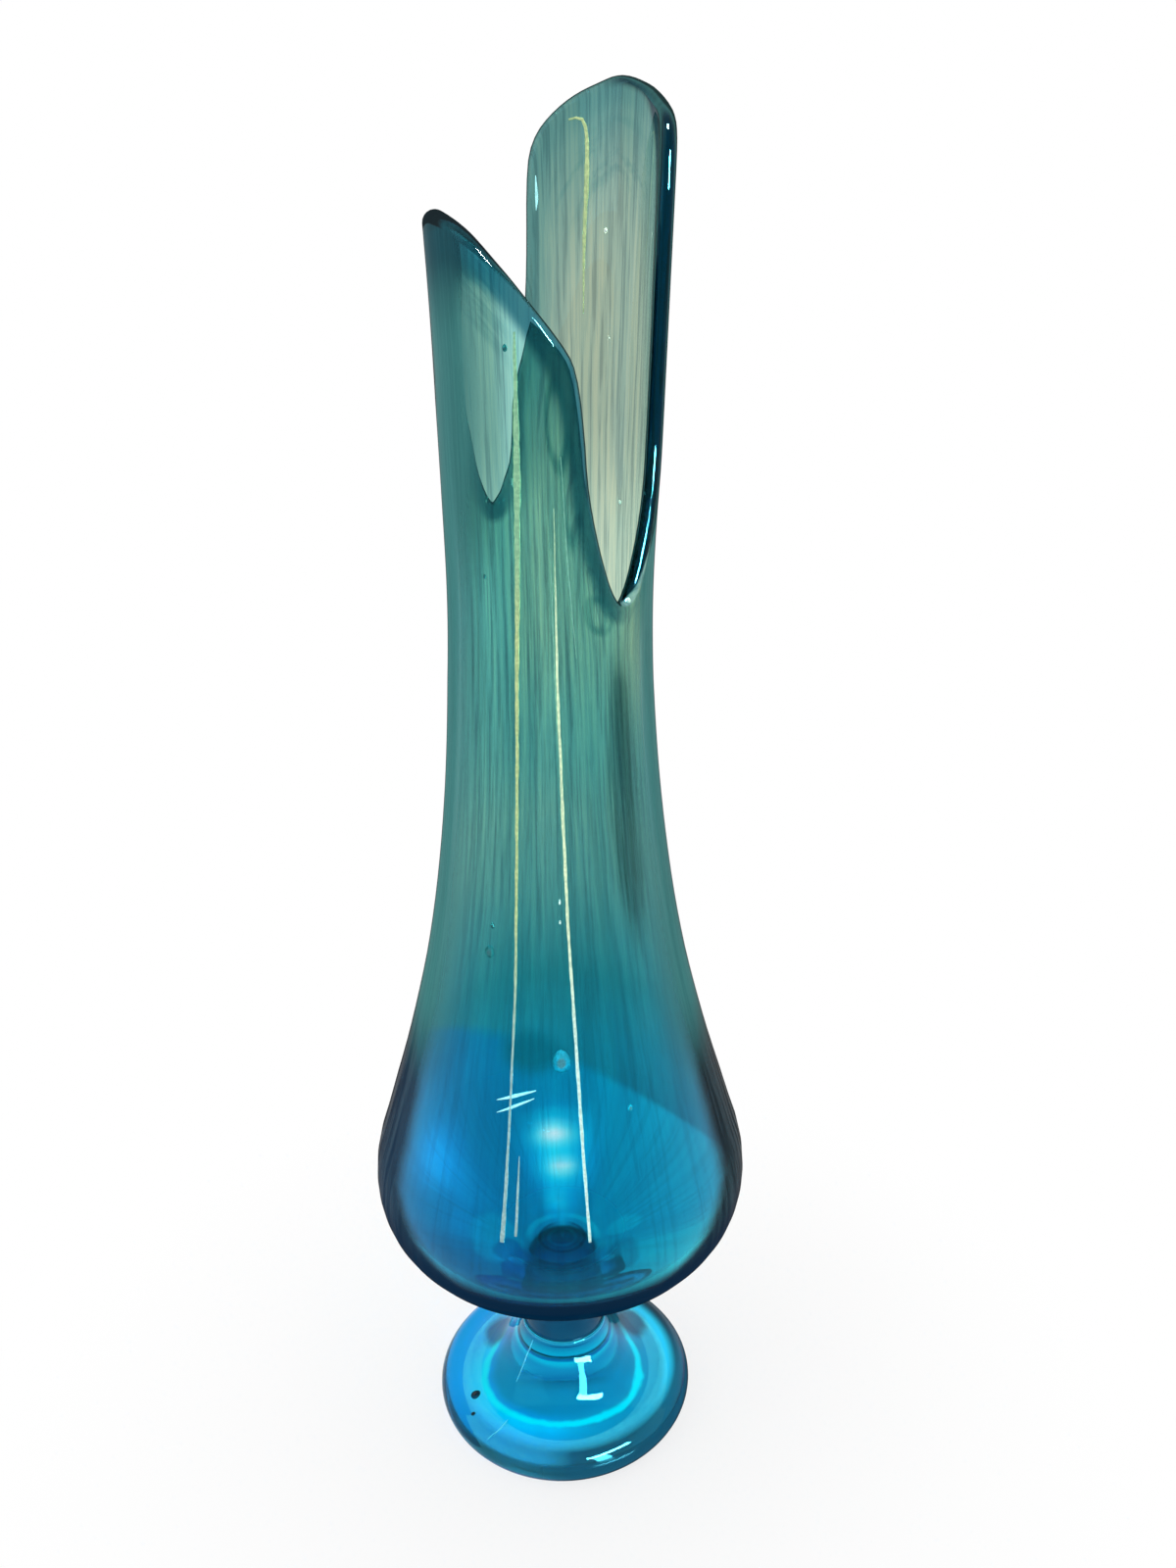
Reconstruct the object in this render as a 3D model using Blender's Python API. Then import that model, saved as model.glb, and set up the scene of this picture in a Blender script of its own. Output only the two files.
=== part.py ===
# Swung glass vase: a round bulb drawn up into a long neck with two uneven lips, on a short stem
# and a round foot. It is made of three gathers of glass that were joined hot: the blown body,
# the solid stem and the pressed foot.
# Metres, +Z up. The origin is the centre of the ring that the foot rests on.
# Angles run round the axis from +X towards +Y, and the front of the vase faces -Y.

import bmesh
import bpy
import numpy as np

# Foot
FOOT_RADIUS = 0.0497
FOOT_HEIGHT = 0.0360
FOOT_EDGE_HEIGHT = 0.0134
FOOT_EDGE_ROUND = 0.0088
FOOT_HOLLOW_RADIUS = 0.0315
FOOT_HOLLOW_DEPTH = 0.0045

# Stem
STEM_END_RADIUS = 0.0162
STEM_WAIST_RADIUS = 0.0146
STEM_LENGTH = 0.0254

# Body
BULB_RADIUS = 0.0680
NECK_RADIUS = 0.0325
TALL_LIP_RADIUS = 0.0370
UNDERSIDE_RISE = 0.0490
SHOULDER_RISE = 0.2120
FLOOR_WALL = 0.0100
BULB_WALL = 0.0052
NECK_WALL = 0.0040
RIM_BEAD = 0.0052
BEAD_FADE = 0.0060

# Lips and notches, measured up from the bottom of the front notch
TALL_LIP_RISE = 0.1480
SHORT_LIP_RISE = 0.1080
BACK_NOTCH_RISE = 0.0250

# The swung neck bends a little towards its tall lip
NECK_BEND = 0.0031
NECK_BEND_DEG = 20.0

# Gap that stands for a fused joint between two gathers
JOINT_GAP = 0.0003

# Foot outline over the top, from the stem's end to the edge: shares of the way out and of the way down
FOOT_TOP_SHARES = (
    (0.00, 0.00),
    (0.035, 0.13),
    (0.10, 0.32),
    (0.21, 0.53),
    (0.36, 0.72),
    (0.56, 0.87),
    (0.80, 0.975),
    (1.00, 1.00),
)

# Bulb outline from the stem up to the widest level: shares of the rise and of the way out
UNDERSIDE_SHARES = (
    (0.000, 0.000),
    (0.071, 0.131),
    (0.173, 0.324),
    (0.286, 0.508),
    (0.388, 0.662),
    (0.490, 0.792),
    (0.592, 0.880),
    (0.694, 0.942),
    (0.796, 0.976),
    (0.918, 0.997),
    (1.000, 1.000),
)

# Shoulder outline from the widest level up to the neck: shares of the rise and of the way out
SHOULDER_SHARES = (
    (0.052, 0.965),
    (0.099, 0.872),
    (0.160, 0.763),
    (0.231, 0.631),
    (0.316, 0.491),
    (0.420, 0.341),
    (0.552, 0.202),
    (0.712, 0.087),
    (0.880, 0.018),
    (1.000, 0.000),
)

# Flare of the lips above the neck: shares of the tall lip's rise and of its flare
LIP_SHARES = (
    (0.20, 0.15),
    (0.45, 0.40),
    (0.72, 0.67),
    (1.00, 1.00),
    (1.20, 1.25),
)

# Rim, once round from the bottom of the front notch: angle in degrees, and share of the climb
# between the notch and the lip at the two ends of the run
FRONT_TO_TALL_SHARES = (
    (-46.0, 0.000),
    (-38.0, 0.034),
    (-31.0, 0.084),
    (-25.0, 0.130),
    (-17.5, 0.193),
    (-11.0, 0.256),
    (-7.0, 0.325),
    (-4.0, 0.430),
    (-2.0, 0.588),
    (0.0, 0.760),
    (2.5, 0.852),
    (8.5, 0.902),
    (22.0, 0.944),
    (36.0, 0.977),
)
TALL_TO_BACK_SHARES = (
    (53.0, 1.000),
    (67.0, 0.988),
    (79.0, 0.966),
    (89.5, 0.931),
    (97.5, 0.888),
    (102.0, 0.835),
    (103.5, 0.750),
    (104.0, 0.610),
    (105.5, 0.480),
    (109.5, 0.370),
    (112.5, 0.280),
    (114.0, 0.180),
    (116.5, 0.104),
    (120.0, 0.062),
    (125.0, 0.022),
)
BACK_TO_SHORT_SHARES = (
    (131.0, 0.000),
    (138.5, 0.055),
    (147.0, 0.165),
    (153.0, 0.310),
    (156.0, 0.486),
    (158.0, 0.680),
    (160.5, 0.830),
    (167.0, 0.935),
    (177.0, 0.985),
)
SHORT_TO_FRONT_SHARES = (
    (190.0, 1.000),
    (206.0, 0.995),
    (228.5, 0.943),
    (248.0, 0.851),
    (265.0, 0.750),
    (277.0, 0.672),
    (283.0, 0.622),
    (286.5, 0.550),
    (289.5, 0.428),
    (291.5, 0.320),
    (296.0, 0.205),
    (302.5, 0.094),
    (308.5, 0.025),
)

# Where the even rings end and the columns start to fan out to the rim, and where the neck starts to bend:
# shares of the shoulder's rise
FAN_START_SHARE = 0.68
BEND_START_SHARE = 0.87

# How far the columns gather along the steep edges of the rim, and at its bends
RIM_LENGTH_SHARE = 0.50
RIM_BEND_SHARE = 0.18

# Fineness of the meshes
COLUMNS = 72
UNDERSIDE_ROWS = 11
SHOULDER_ROWS = 10
FAN_ROWS = 10
FAN_SMOOTHING = 300
BEAD_SEGMENTS = 4
TURNED_SEGMENTS = 56
STEM_STEPS = 6
HOLLOW_STEPS = 5
FOOT_EDGE_STEPS = 8
FINE_STEPS = 16
SHARP_EDGE_DEG = 35.0

# Part of the foot's edge that is round, from the resting ring up to the top
FOOT_EDGE_START_DEG = -90.0
FOOT_EDGE_END_DEG = 60.0

# Glass colours, as the photo shows them
BODY_COLOUR = (0.060, 0.300, 0.330, 1.0)
STEM_COLOUR = (0.008, 0.170, 0.330, 1.0)
FOOT_COLOUR = (0.010, 0.330, 0.520, 1.0)
GLASS_ROUGHNESS = 0.03
GLASS_IOR = 1.5

# Levels that follow from the sizes
STEM_BOTTOM = FOOT_HEIGHT + JOINT_GAP
STEM_TOP = STEM_BOTTOM + STEM_LENGTH
SEAT = STEM_TOP + JOINT_GAP
WIDEST = SEAT + UNDERSIDE_RISE
FRONT_NOTCH = WIDEST + SHOULDER_RISE
BACK_NOTCH = FRONT_NOTCH + BACK_NOTCH_RISE
SHORT_LIP = FRONT_NOTCH + SHORT_LIP_RISE
TALL_LIP = FRONT_NOTCH + TALL_LIP_RISE


def clear_scene():
    for item in list(bpy.data.objects):
        bpy.data.objects.remove(item, do_unlink=True)


# A smooth curve through given points, with a few fine steps between each two
def smooth_curve(points):
    pts = np.array(points, dtype=float)
    padded = np.vstack([2 * pts[0] - pts[1], pts, 2 * pts[-1] - pts[-2]])
    knots = np.concatenate([[0.0], np.cumsum(np.linalg.norm(np.diff(padded, axis=0), axis=1))])
    curve = []
    for i in range(1, len(padded) - 2):
        span = knots[i + 1] - knots[i]
        slope_in = (padded[i + 1] - padded[i - 1]) / (knots[i + 1] - knots[i - 1])
        slope_out = (padded[i + 2] - padded[i]) / (knots[i + 2] - knots[i])
        for step in range(FINE_STEPS):
            t = step / FINE_STEPS
            curve.append(
                (2 * t**3 - 3 * t**2 + 1) * padded[i]
                + (t**3 - 2 * t**2 + t) * span * slope_in
                + (3 * t**2 - 2 * t**3) * padded[i + 1]
                + (t**3 - t**2) * span * slope_out
            )
    curve.append(pts[-1])
    return np.array(curve)


# Distance run along a curve up to each of its points
def run_length(curve):
    return np.concatenate([[0.0], np.cumsum(np.linalg.norm(np.diff(curve, axis=0), axis=1))])


# Outside of the body as (radius, height), from the stem's end to above the tall lip
def body_outline():
    points = []
    stretches = (
        (UNDERSIDE_SHARES, STEM_END_RADIUS, BULB_RADIUS, SEAT, UNDERSIDE_RISE),
        (SHOULDER_SHARES, NECK_RADIUS, BULB_RADIUS, WIDEST, SHOULDER_RISE),
        (LIP_SHARES, NECK_RADIUS, TALL_LIP_RADIUS, FRONT_NOTCH, TALL_LIP_RISE),
    )
    for shares, narrow, wide, start, length in stretches:
        for rise, out in shares:
            points.append((narrow + out * (wide - narrow), start + rise * length))
    return smooth_curve(points)


# Outward direction of the outline at each of its points, as (radius, height)
def outline_normals(outline):
    along = np.gradient(outline, axis=0)
    along /= np.linalg.norm(along, axis=1)[:, None]
    normals = np.stack([along[:, 1], -along[:, 0]], axis=1)
    normals[0] = (0.0, -1.0)
    return normals


# Thickness of the wall at each point of the outline, before the bead at the rim
def wall_thickness(outline):
    run = run_length(outline)
    run_to_widest = np.interp(WIDEST, outline[:, 1], run)
    under = np.clip(run / run_to_widest, 0.0, 1.0)
    over = np.clip((outline[:, 1] - WIDEST) / SHOULDER_RISE, 0.0, 1.0)
    thinning = (1.0 - np.cos(np.pi * under)) / 2.0
    return FLOOR_WALL + (BULB_WALL - FLOOR_WALL) * thinning + (NECK_WALL - BULB_WALL) * over


# Visible edge of the rim, once round, as flat (way round the neck, height) points
def rim_edge():
    runs = (
        (FRONT_TO_TALL_SHARES, FRONT_NOTCH, TALL_LIP),
        (TALL_TO_BACK_SHARES, BACK_NOTCH, TALL_LIP),
        (BACK_TO_SHORT_SHARES, BACK_NOTCH, SHORT_LIP),
        (SHORT_TO_FRONT_SHARES, FRONT_NOTCH, SHORT_LIP),
    )
    points = []
    for shares, notch, lip in runs:
        for angle, climb in shares:
            points.append((np.radians(angle) * NECK_RADIUS, notch + climb * (lip - notch)))
    points = np.array(points)
    once_round = np.array([2 * np.pi * NECK_RADIUS, 0.0])
    padded = np.vstack([points[-1] - once_round, points, points[0] + once_round, points[1] + once_round])
    return smooth_curve(padded)[FINE_STEPS:-FINE_STEPS]


# Where the columns of the body meet the rim, as flat (way round, height) points, with the way out of
# the glass at each. Columns gather along the steep edges and at the bends of the rim.
def rim_columns():
    edge = rim_edge()
    run = run_length(edge)
    along = np.gradient(edge, axis=0)
    heading = np.unwrap(np.arctan2(along[:, 1], along[:, 0]))
    bend = np.concatenate([[0.0], np.cumsum(np.abs(np.diff(heading)))])
    way_round = edge[:, 0] - edge[0, 0]
    even_share = 1.0 - RIM_LENGTH_SHARE - RIM_BEND_SHARE
    spread = (even_share * way_round / way_round[-1] + RIM_LENGTH_SHARE * run / run[-1]
              + RIM_BEND_SHARE * bend / bend[-1])
    places = np.arange(COLUMNS) / COLUMNS
    rim = np.stack([np.interp(places, spread, edge[:, 0]), np.interp(places, spread, edge[:, 1])], axis=1)
    turn = np.interp(places, spread, heading) + np.pi / 2
    return rim, np.stack([np.cos(turn), np.sin(turn)], axis=1)


# Points before and after each point of rings that go once round, in flat (way round, height)
def round_neighbours(rings):
    once_round = np.array([2 * np.pi * NECK_RADIUS, 0.0])
    before = np.roll(rings, 1, axis=-2)
    after = np.roll(rings, -1, axis=-2)
    before[..., 0, :] -= once_round
    after[..., -1, :] += once_round
    return before, after


# Spaces the rings between the first and the last so that no four-sided face folds or pinches
def even_out(rings):
    for _ in range(FAN_SMOOTHING):
        before, after = round_neighbours(rings)
        across = ((after - before) / 2.0)[1:-1]
        along = (rings[2:] - rings[:-2]) / 2.0
        twist = (after[2:] - before[2:] - after[:-2] + before[:-2]) / 4.0
        across_pull = np.sum(along * along, axis=2)[..., None]
        along_pull = np.sum(across * across, axis=2)[..., None]
        slant = np.sum(across * along, axis=2)[..., None]
        moved = across_pull * (before + after)[1:-1] + along_pull * (rings[2:] + rings[:-2])
        rings[1:-1] = (moved - 2 * slant * twist) / (2 * (across_pull + along_pull))
    return rings


# Flat rings that fan out from an even ring on the neck to the rim. The last ring lies half a bead back
# from the visible edge.
def fan_rings(fan_start):
    rim, outward = rim_columns()
    last = rim - outward * RIM_BEAD / 2.0
    way_round = 2 * np.pi * NECK_RADIUS * np.arange(COLUMNS) / COLUMNS
    way_round += np.mean(rim[:, 0] - way_round)
    first = np.stack([way_round, np.full(COLUMNS, fan_start)], axis=1)
    climbs = np.arange(FAN_ROWS + 1)[:, None, None] / FAN_ROWS
    return even_out(first + climbs * (last - first)), outward


# How far the neck's centre has moved sideways at a height
def neck_shift(height):
    start = WIDEST + BEND_START_SHARE * SHOULDER_RISE
    share = np.clip((height - start) / (TALL_LIP - start), 0.0, None)
    direction = np.array([np.cos(np.radians(NECK_BEND_DEG)), np.sin(np.radians(NECK_BEND_DEG)), 0.0])
    return NECK_BEND * share[:, None] * direction


def space_point(radius, angle, height):
    return np.stack([radius * np.cos(angle), radius * np.sin(angle), height + 0 * angle], axis=-1)


# Rings of points over the whole body: up the outside, over the bead and down the inside
def body_rings():
    outline = body_outline()
    normals = outline_normals(outline)
    walls = wall_thickness(outline)
    run = run_length(outline)
    heights = outline[:, 1]

    def at_height(values, height):
        return np.interp(height, heights, values)

    def skin_points(angle, height, depth):
        radius = at_height(outline[:, 0], height) - depth * at_height(normals[:, 0], height)
        points = space_point(radius, angle, height - depth * at_height(normals[:, 1], height))
        return points + neck_shift(height)

    fan_start = WIDEST + FAN_START_SHARE * SHOULDER_RISE
    run_to_widest = at_height(run, WIDEST)
    low_runs = np.concatenate([
        np.linspace(0.0, run_to_widest, UNDERSIDE_ROWS + 1),
        np.linspace(run_to_widest, at_height(run, fan_start), SHOULDER_ROWS + 1)[1:],
    ])
    low_heights = np.interp(low_runs, run, heights)
    fan, outward = fan_rings(fan_start)
    angles = fan[0][:, 0] / NECK_RADIUS

    outside = []
    inside = []
    for height in low_heights:
        level = np.full(COLUMNS, height)
        outside.append(skin_points(angles, level, 0.0))
        inside.append(skin_points(angles, level, at_height(walls, level)))
    edge = fan[-1]
    for ring in fan[1:]:
        angle, height = ring[:, 0] / NECK_RADIUS, ring[:, 1]
        wrapped = [edge + np.array([turns * 2 * np.pi * NECK_RADIUS, 0.0]) for turns in (-1, 0, 1)]
        gaps = np.linalg.norm(ring[:, None, :] - np.concatenate(wrapped)[None, :, :], axis=2)
        wall = at_height(walls, height)
        swell = (RIM_BEAD - wall) * np.exp(-np.min(gaps, axis=1) / BEAD_FADE) / 2.0
        outside.append(skin_points(angle, height, -swell))
        inside.append(skin_points(angle, height, wall + swell))

    # The bead is a half round from the last outside ring to the last inside ring
    outer = outside[-1]
    inner = inside[-1]
    centre = (outer + inner) / 2.0
    across = (outer - inner) / 2.0
    edge_angles = edge[:, 0] / NECK_RADIUS
    around = np.stack([-np.sin(edge_angles), np.cos(edge_angles), 0 * edge_angles], axis=-1)
    upward = np.array([0.0, 0.0, 1.0])
    onward = around * outward[:, :1] + upward * outward[:, 1:]
    bead = []
    for segment in range(1, BEAD_SEGMENTS):
        turn = np.pi * segment / BEAD_SEGMENTS
        bead.append(centre + across * np.cos(turn) + onward * RIM_BEAD / 2.0 * np.sin(turn))

    # The inside needs fewer rings below the lips
    low_count = len(low_heights)
    inside = inside[:low_count:2] + inside[low_count:]
    return outside + bead + inside[::-1]


# A closed mesh from a stack of rings, with a middle point that closes each end
def mesh_from_rings(name, rings, start, end):
    mesh = bpy.data.meshes.new(name)
    shape = bmesh.new()
    ring_verts = []
    for ring in rings:
        ring_verts.append([shape.verts.new(point) for point in ring])
    for lower, upper in zip(ring_verts, ring_verts[1:]):
        for i in range(len(lower)):
            j = (i + 1) % len(lower)
            shape.faces.new((lower[i], lower[j], upper[j], upper[i]))
    for middle, ring, flip in ((start, ring_verts[0], True), (end, ring_verts[-1], False)):
        tip = shape.verts.new(middle)
        for i in range(len(ring)):
            j = (i + 1) % len(ring)
            corners = (ring[j], ring[i], tip) if flip else (ring[i], ring[j], tip)
            shape.faces.new(corners)
    shape.to_mesh(mesh)
    shape.free()
    return mesh


def glass(name, colour):
    material = bpy.data.materials.new(name)
    material.use_nodes = True
    shader = material.node_tree.nodes["Principled BSDF"]
    shader.inputs["Base Color"].default_value = colour
    shader.inputs["Roughness"].default_value = GLASS_ROUGHNESS
    shader.inputs["Metallic"].default_value = 0.0
    shader.inputs["IOR"].default_value = GLASS_IOR
    shader.inputs["Transmission Weight"].default_value = 1.0
    material.diffuse_color = colour
    return material


def add_piece(mesh, colour):
    mesh.shade_smooth()
    mesh.set_sharp_from_angle(angle=np.radians(SHARP_EDGE_DEG))
    mesh.materials.append(glass(mesh.name + "_glass", colour))
    piece = bpy.data.objects.new(mesh.name, mesh)
    bpy.context.scene.collection.objects.link(piece)
    return piece


# A solid turned about the axis. The profile runs outside, from one end on the axis to the other.
def turned_mesh(name, profile, start_height, end_height):
    angles = 2 * np.pi * np.arange(TURNED_SEGMENTS) / TURNED_SEGMENTS
    rings = [space_point(radius, angles, height) for radius, height in profile]
    return mesh_from_rings(name, rings, (0.0, 0.0, start_height), (0.0, 0.0, end_height))


def make_body():
    rings = body_rings()
    floor = float(rings[-1][0][2])
    mesh = mesh_from_rings("vase_body", rings, (0.0, 0.0, SEAT), (0.0, 0.0, floor))
    return add_piece(mesh, BODY_COLOUR)


# The stem draws in a little between its two ends
def make_stem():
    profile = []
    for step in range(STEM_STEPS + 1):
        share = step / STEM_STEPS
        waist = np.sin(np.pi * share) ** 2
        radius = STEM_END_RADIUS + (STEM_WAIST_RADIUS - STEM_END_RADIUS) * waist
        profile.append((radius, STEM_BOTTOM + share * STEM_LENGTH))
    mesh = turned_mesh("stem", profile, STEM_BOTTOM, STEM_TOP)
    return add_piece(mesh, STEM_COLOUR)


# Half of the foot's section: out under the hollow and the resting ring, round the edge, and back over the top
def foot_profile():
    profile = []
    for step in range(1, HOLLOW_STEPS + 1):
        share = step / HOLLOW_STEPS
        profile.append((share * FOOT_HOLLOW_RADIUS, FOOT_HOLLOW_DEPTH * np.cos(np.pi / 2 * share)))
    half_edge = FOOT_EDGE_HEIGHT / 2.0
    rest_radius = FOOT_RADIUS - FOOT_EDGE_ROUND
    for turn in np.radians(np.linspace(FOOT_EDGE_START_DEG, FOOT_EDGE_END_DEG, FOOT_EDGE_STEPS + 1)):
        profile.append((rest_radius + FOOT_EDGE_ROUND * np.cos(turn), half_edge + half_edge * np.sin(turn)))
    edge_radius, edge_height = profile[-1]
    top = []
    for out, down in FOOT_TOP_SHARES:
        radius = STEM_END_RADIUS + out * (edge_radius - STEM_END_RADIUS)
        top.append((radius, FOOT_HEIGHT + down * (edge_height - FOOT_HEIGHT)))
    half_steps = smooth_curve(top)[::FINE_STEPS // 2]
    return profile + [tuple(point) for point in half_steps[-2::-1]]


def make_foot():
    mesh = turned_mesh("foot", foot_profile(), FOOT_HOLLOW_DEPTH, FOOT_HEIGHT)
    return add_piece(mesh, FOOT_COLOUR)


clear_scene()
make_foot()
make_stem()
make_body()
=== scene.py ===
import bmesh
import bpy
import numpy as np
from mathutils import Matrix, Vector
from mathutils.bvhtree import BVHTree


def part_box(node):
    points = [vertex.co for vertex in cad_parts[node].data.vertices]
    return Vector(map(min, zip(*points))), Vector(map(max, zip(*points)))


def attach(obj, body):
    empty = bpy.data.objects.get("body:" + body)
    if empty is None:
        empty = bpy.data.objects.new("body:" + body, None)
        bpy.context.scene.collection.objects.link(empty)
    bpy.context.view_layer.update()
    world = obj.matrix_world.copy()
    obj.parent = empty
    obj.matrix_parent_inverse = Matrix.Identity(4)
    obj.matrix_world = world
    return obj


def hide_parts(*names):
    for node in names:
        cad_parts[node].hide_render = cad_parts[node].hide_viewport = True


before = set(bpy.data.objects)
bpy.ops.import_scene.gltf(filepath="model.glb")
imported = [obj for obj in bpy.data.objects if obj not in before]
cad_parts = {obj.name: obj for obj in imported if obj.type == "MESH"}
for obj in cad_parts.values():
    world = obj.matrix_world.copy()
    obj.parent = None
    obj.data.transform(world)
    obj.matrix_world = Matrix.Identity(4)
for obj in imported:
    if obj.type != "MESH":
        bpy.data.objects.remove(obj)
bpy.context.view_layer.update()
print("frame loaded:", sorted(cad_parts))

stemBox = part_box("stem")
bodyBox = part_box("vase_body")


def opaque(value):  # colours are written as three numbers, and their sockets want a fourth
    return (*value, 1.0) if isinstance(value, tuple) else value


class Wire:  # a socket of a material's tree, so that shader maths reads as Python
    def __init__(self, tree, socket):
        self.tree = tree
        self.socket = socket

    def node(self, kind, settings=None, inputs=None, out=0):  # any node: its type, settings and sockets
        made = self.tree.nodes.new("ShaderNode" + kind)
        for name, value in (settings or {}).items():
            if name == "stops":
                ramp = made.color_ramp
                while len(ramp.elements) < len(value):
                    ramp.elements.new(1.0)
                for stop, (place, shade) in zip(ramp.elements, value):
                    stop.position = place
                    stop.color = opaque(shade)
            else:
                setattr(made, name, value)
        for name, value in (inputs or {}).items():
            if isinstance(value, Wire):
                self.tree.links.new(value.socket, made.inputs[name])
            else:
                made.inputs[name].default_value = opaque(value)
        return Wire(self.tree, made.outputs[out]) if made.outputs else None

    def maths(self, operation, other=0.0, swapped=False):
        first, second = (other, self) if swapped else (self, other)
        return self.node("Math", {"operation": operation}, {0: first, 1: second})

    def __add__(self, other):
        return self.maths("ADD", other)

    def __radd__(self, other):
        return self.maths("ADD", other)

    def __sub__(self, other):
        return self.maths("SUBTRACT", other)

    def __rsub__(self, other):
        return self.maths("SUBTRACT", other, swapped=True)

    def __mul__(self, other):
        return self.maths("MULTIPLY", other)

    def __rmul__(self, other):
        return self.maths("MULTIPLY", other)

    def __truediv__(self, other):
        return self.maths("DIVIDE", other)

    def line(self, slope, start):
        return self * slope + start

    def clipped(self):
        return self.node("Clamp", {}, {"Value": self})

    def share(self, *span):  # 0 at the first number and 1 at the second, with a soft step between
        first, second, *rest = span
        if len(rest) == 1:  # a line: 1 as far as the second either side of the first, 0 beyond the third
            return (self - first).maths("ABSOLUTE").share(rest[0], second)
        if rest:  # a stretch: 1 from the second to the third, 0 before the first and after the fourth
            return self.share(first, second) * self.share(rest[1], rest[0])
        rising = self.node("MapRange", {"interpolation_type": "SMOOTHSTEP"},
                           {"Value": self, "From Min": min(span), "From Max": max(span)})
        return rising if first < second else 1 - rising

    def colours(self, first, second, blend="MIX"):  # mixes two colours by this wire
        settings = {"data_type": "RGBA", "blend_type": blend}
        return self.node("Mix", settings, {0: self, 6: first, 7: second}, 2)  # the node's colour sockets

    def vectors(self, operation, inputs=None, out=0):
        return self.node("VectorMath", {"operation": operation}, {0: self, **(inputs or {})}, out)

    def axes(self):  # its parts along X, Y and Z
        parts = self.node("SeparateXYZ", {}, {"Vector": self}).socket.node.outputs
        return [Wire(self.tree, part) for part in parts]

    def noise(self, inputs):
        return self.node("TexNoise", {}, {"Vector": self, **inputs})


class Coat:  # a tint that is built up in layers from the shades of a look
    def __init__(self, look, tint):
        self.look = look
        self.tint = tint

    def lay(self, name, share, blend="MIX"):  # covers with a shade, as far as the share
        shade = self.look[name]
        for strength in shade[3:]:  # a fourth number in a shade is how strongly it is laid
            share = share * strength
        self.tint = share.colours(self.tint, shade[:3], blend)

    def deepen(self, name, share):  # multiplies by a shade, as far as the share
        self.lay(name, share, "MULTIPLY")


def distance(first, second):
    return (first * first + second * second).maths("SQRT")


def newMaterial(name):
    material = bpy.data.materials.new(name)
    material.use_nodes = True
    tree = material.node_tree
    tree.nodes.clear()
    return material, Wire(tree, tree.nodes.new("ShaderNodeTexCoord").outputs["Object"])


# Body: the blown bubble with its neck and lips
body = {
    "bulbRadius": 0.068,
    "neckRadius": 0.0325,
    "tallLipRadius": 0.037,
    "stemEndRadius": 0.0162,
    "seat": bodyBox[0].z,
    "undersideRise": 0.049,
    "shoulderRise": 0.212,
    "tallLipRise": 0.148,
    "shortLipRise": 0.108,
    "backNotchRise": 0.025,
    "floorWall": 0.01,
    "bulbWall": 0.0052,
    "neckWall": 0.004,
    "rimBead": 0.0052,
    "beadFade": 0.006,
    "neckBend": 0.0031,
    "neckBendDeg": 20.0,
    "bendStartShare": 0.87,
    "fanStartShare": 0.68,
    "rimLengthShare": 0.5,
    "rimBendShare": 0.18,
    "columns": 144,
    "undersideRows": 16,
    "shoulderRows": 20,
    "fanRows": 24,
    "smoothing": 900,
    "beadSteps": 10,
    "curveSteps": 16,
    "outlineSteps": 800,
    "outlineEasing": 60,
    "farFromRim": 0.04,
    # outside from the stem up: shares of the rise and of the way out
    "underside": [(0.0, 0.0), (0.071, 0.131), (0.173, 0.324), (0.286, 0.508), (0.388, 0.662), (0.49, 0.792),
                  (0.592, 0.88), (0.694, 0.942), (0.796, 0.976), (0.918, 0.997), (1.0, 1.0)],
    "shoulder": [(0.052, 0.965), (0.099, 0.872), (0.16, 0.763), (0.231, 0.631), (0.316, 0.491),
                 (0.42, 0.341), (0.552, 0.202), (0.712, 0.087), (0.88, 0.018), (1.0, 0.0)],
    "lips": [(0.2, 0.15), (0.45, 0.4), (0.72, 0.67), (1.0, 1.0), (1.2, 1.25)],
    # rim once round from the front notch: angle, and share of the climb from the notch to the lip
    "frontToTall": [(-46.0, 0.0), (-38.0, 0.034), (-31.0, 0.084), (-25.0, 0.13), (-17.5, 0.193),
                    (-11.0, 0.256), (-7.0, 0.325), (-4.0, 0.43), (-2.0, 0.588), (0.0, 0.76), (2.5, 0.852),
                    (8.5, 0.902), (22.0, 0.944), (36.0, 0.977)],
    "tallToBack": [(53.0, 1.0), (67.0, 0.988), (79.0, 0.966), (89.5, 0.931), (97.5, 0.888), (102.0, 0.835),
                   (103.5, 0.75), (104.0, 0.61), (105.5, 0.48), (109.5, 0.37), (112.5, 0.28), (114.0, 0.18),
                   (116.5, 0.104), (120.0, 0.062), (125.0, 0.022)],
    "backToShort": [(131.0, 0.0), (138.5, 0.055), (147.0, 0.165), (153.0, 0.31), (156.0, 0.486),
                    (158.0, 0.68), (160.5, 0.83), (167.0, 0.935), (177.0, 0.985)],
    "shortToFront": [(190.0, 1.0), (206.0, 0.995), (228.5, 0.943), (248.0, 0.851), (265.0, 0.75),
                     (277.0, 0.672), (283.0, 0.622), (286.5, 0.55), (289.5, 0.428), (291.5, 0.32),
                     (296.0, 0.205), (302.5, 0.094), (308.5, 0.025)],
}
body["widest"] = body["seat"] + body["undersideRise"]
body["frontNotch"] = body["widest"] + body["shoulderRise"]
body["backNotch"] = body["frontNotch"] + body["backNotchRise"]
body["shortLip"] = body["frontNotch"] + body["shortLipRise"]
body["tallLip"] = body["frontNotch"] + body["tallLipRise"]
onceRound = np.array([2 * np.pi * body["neckRadius"], 0.0])  # a turn round the neck, laid flat


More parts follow.
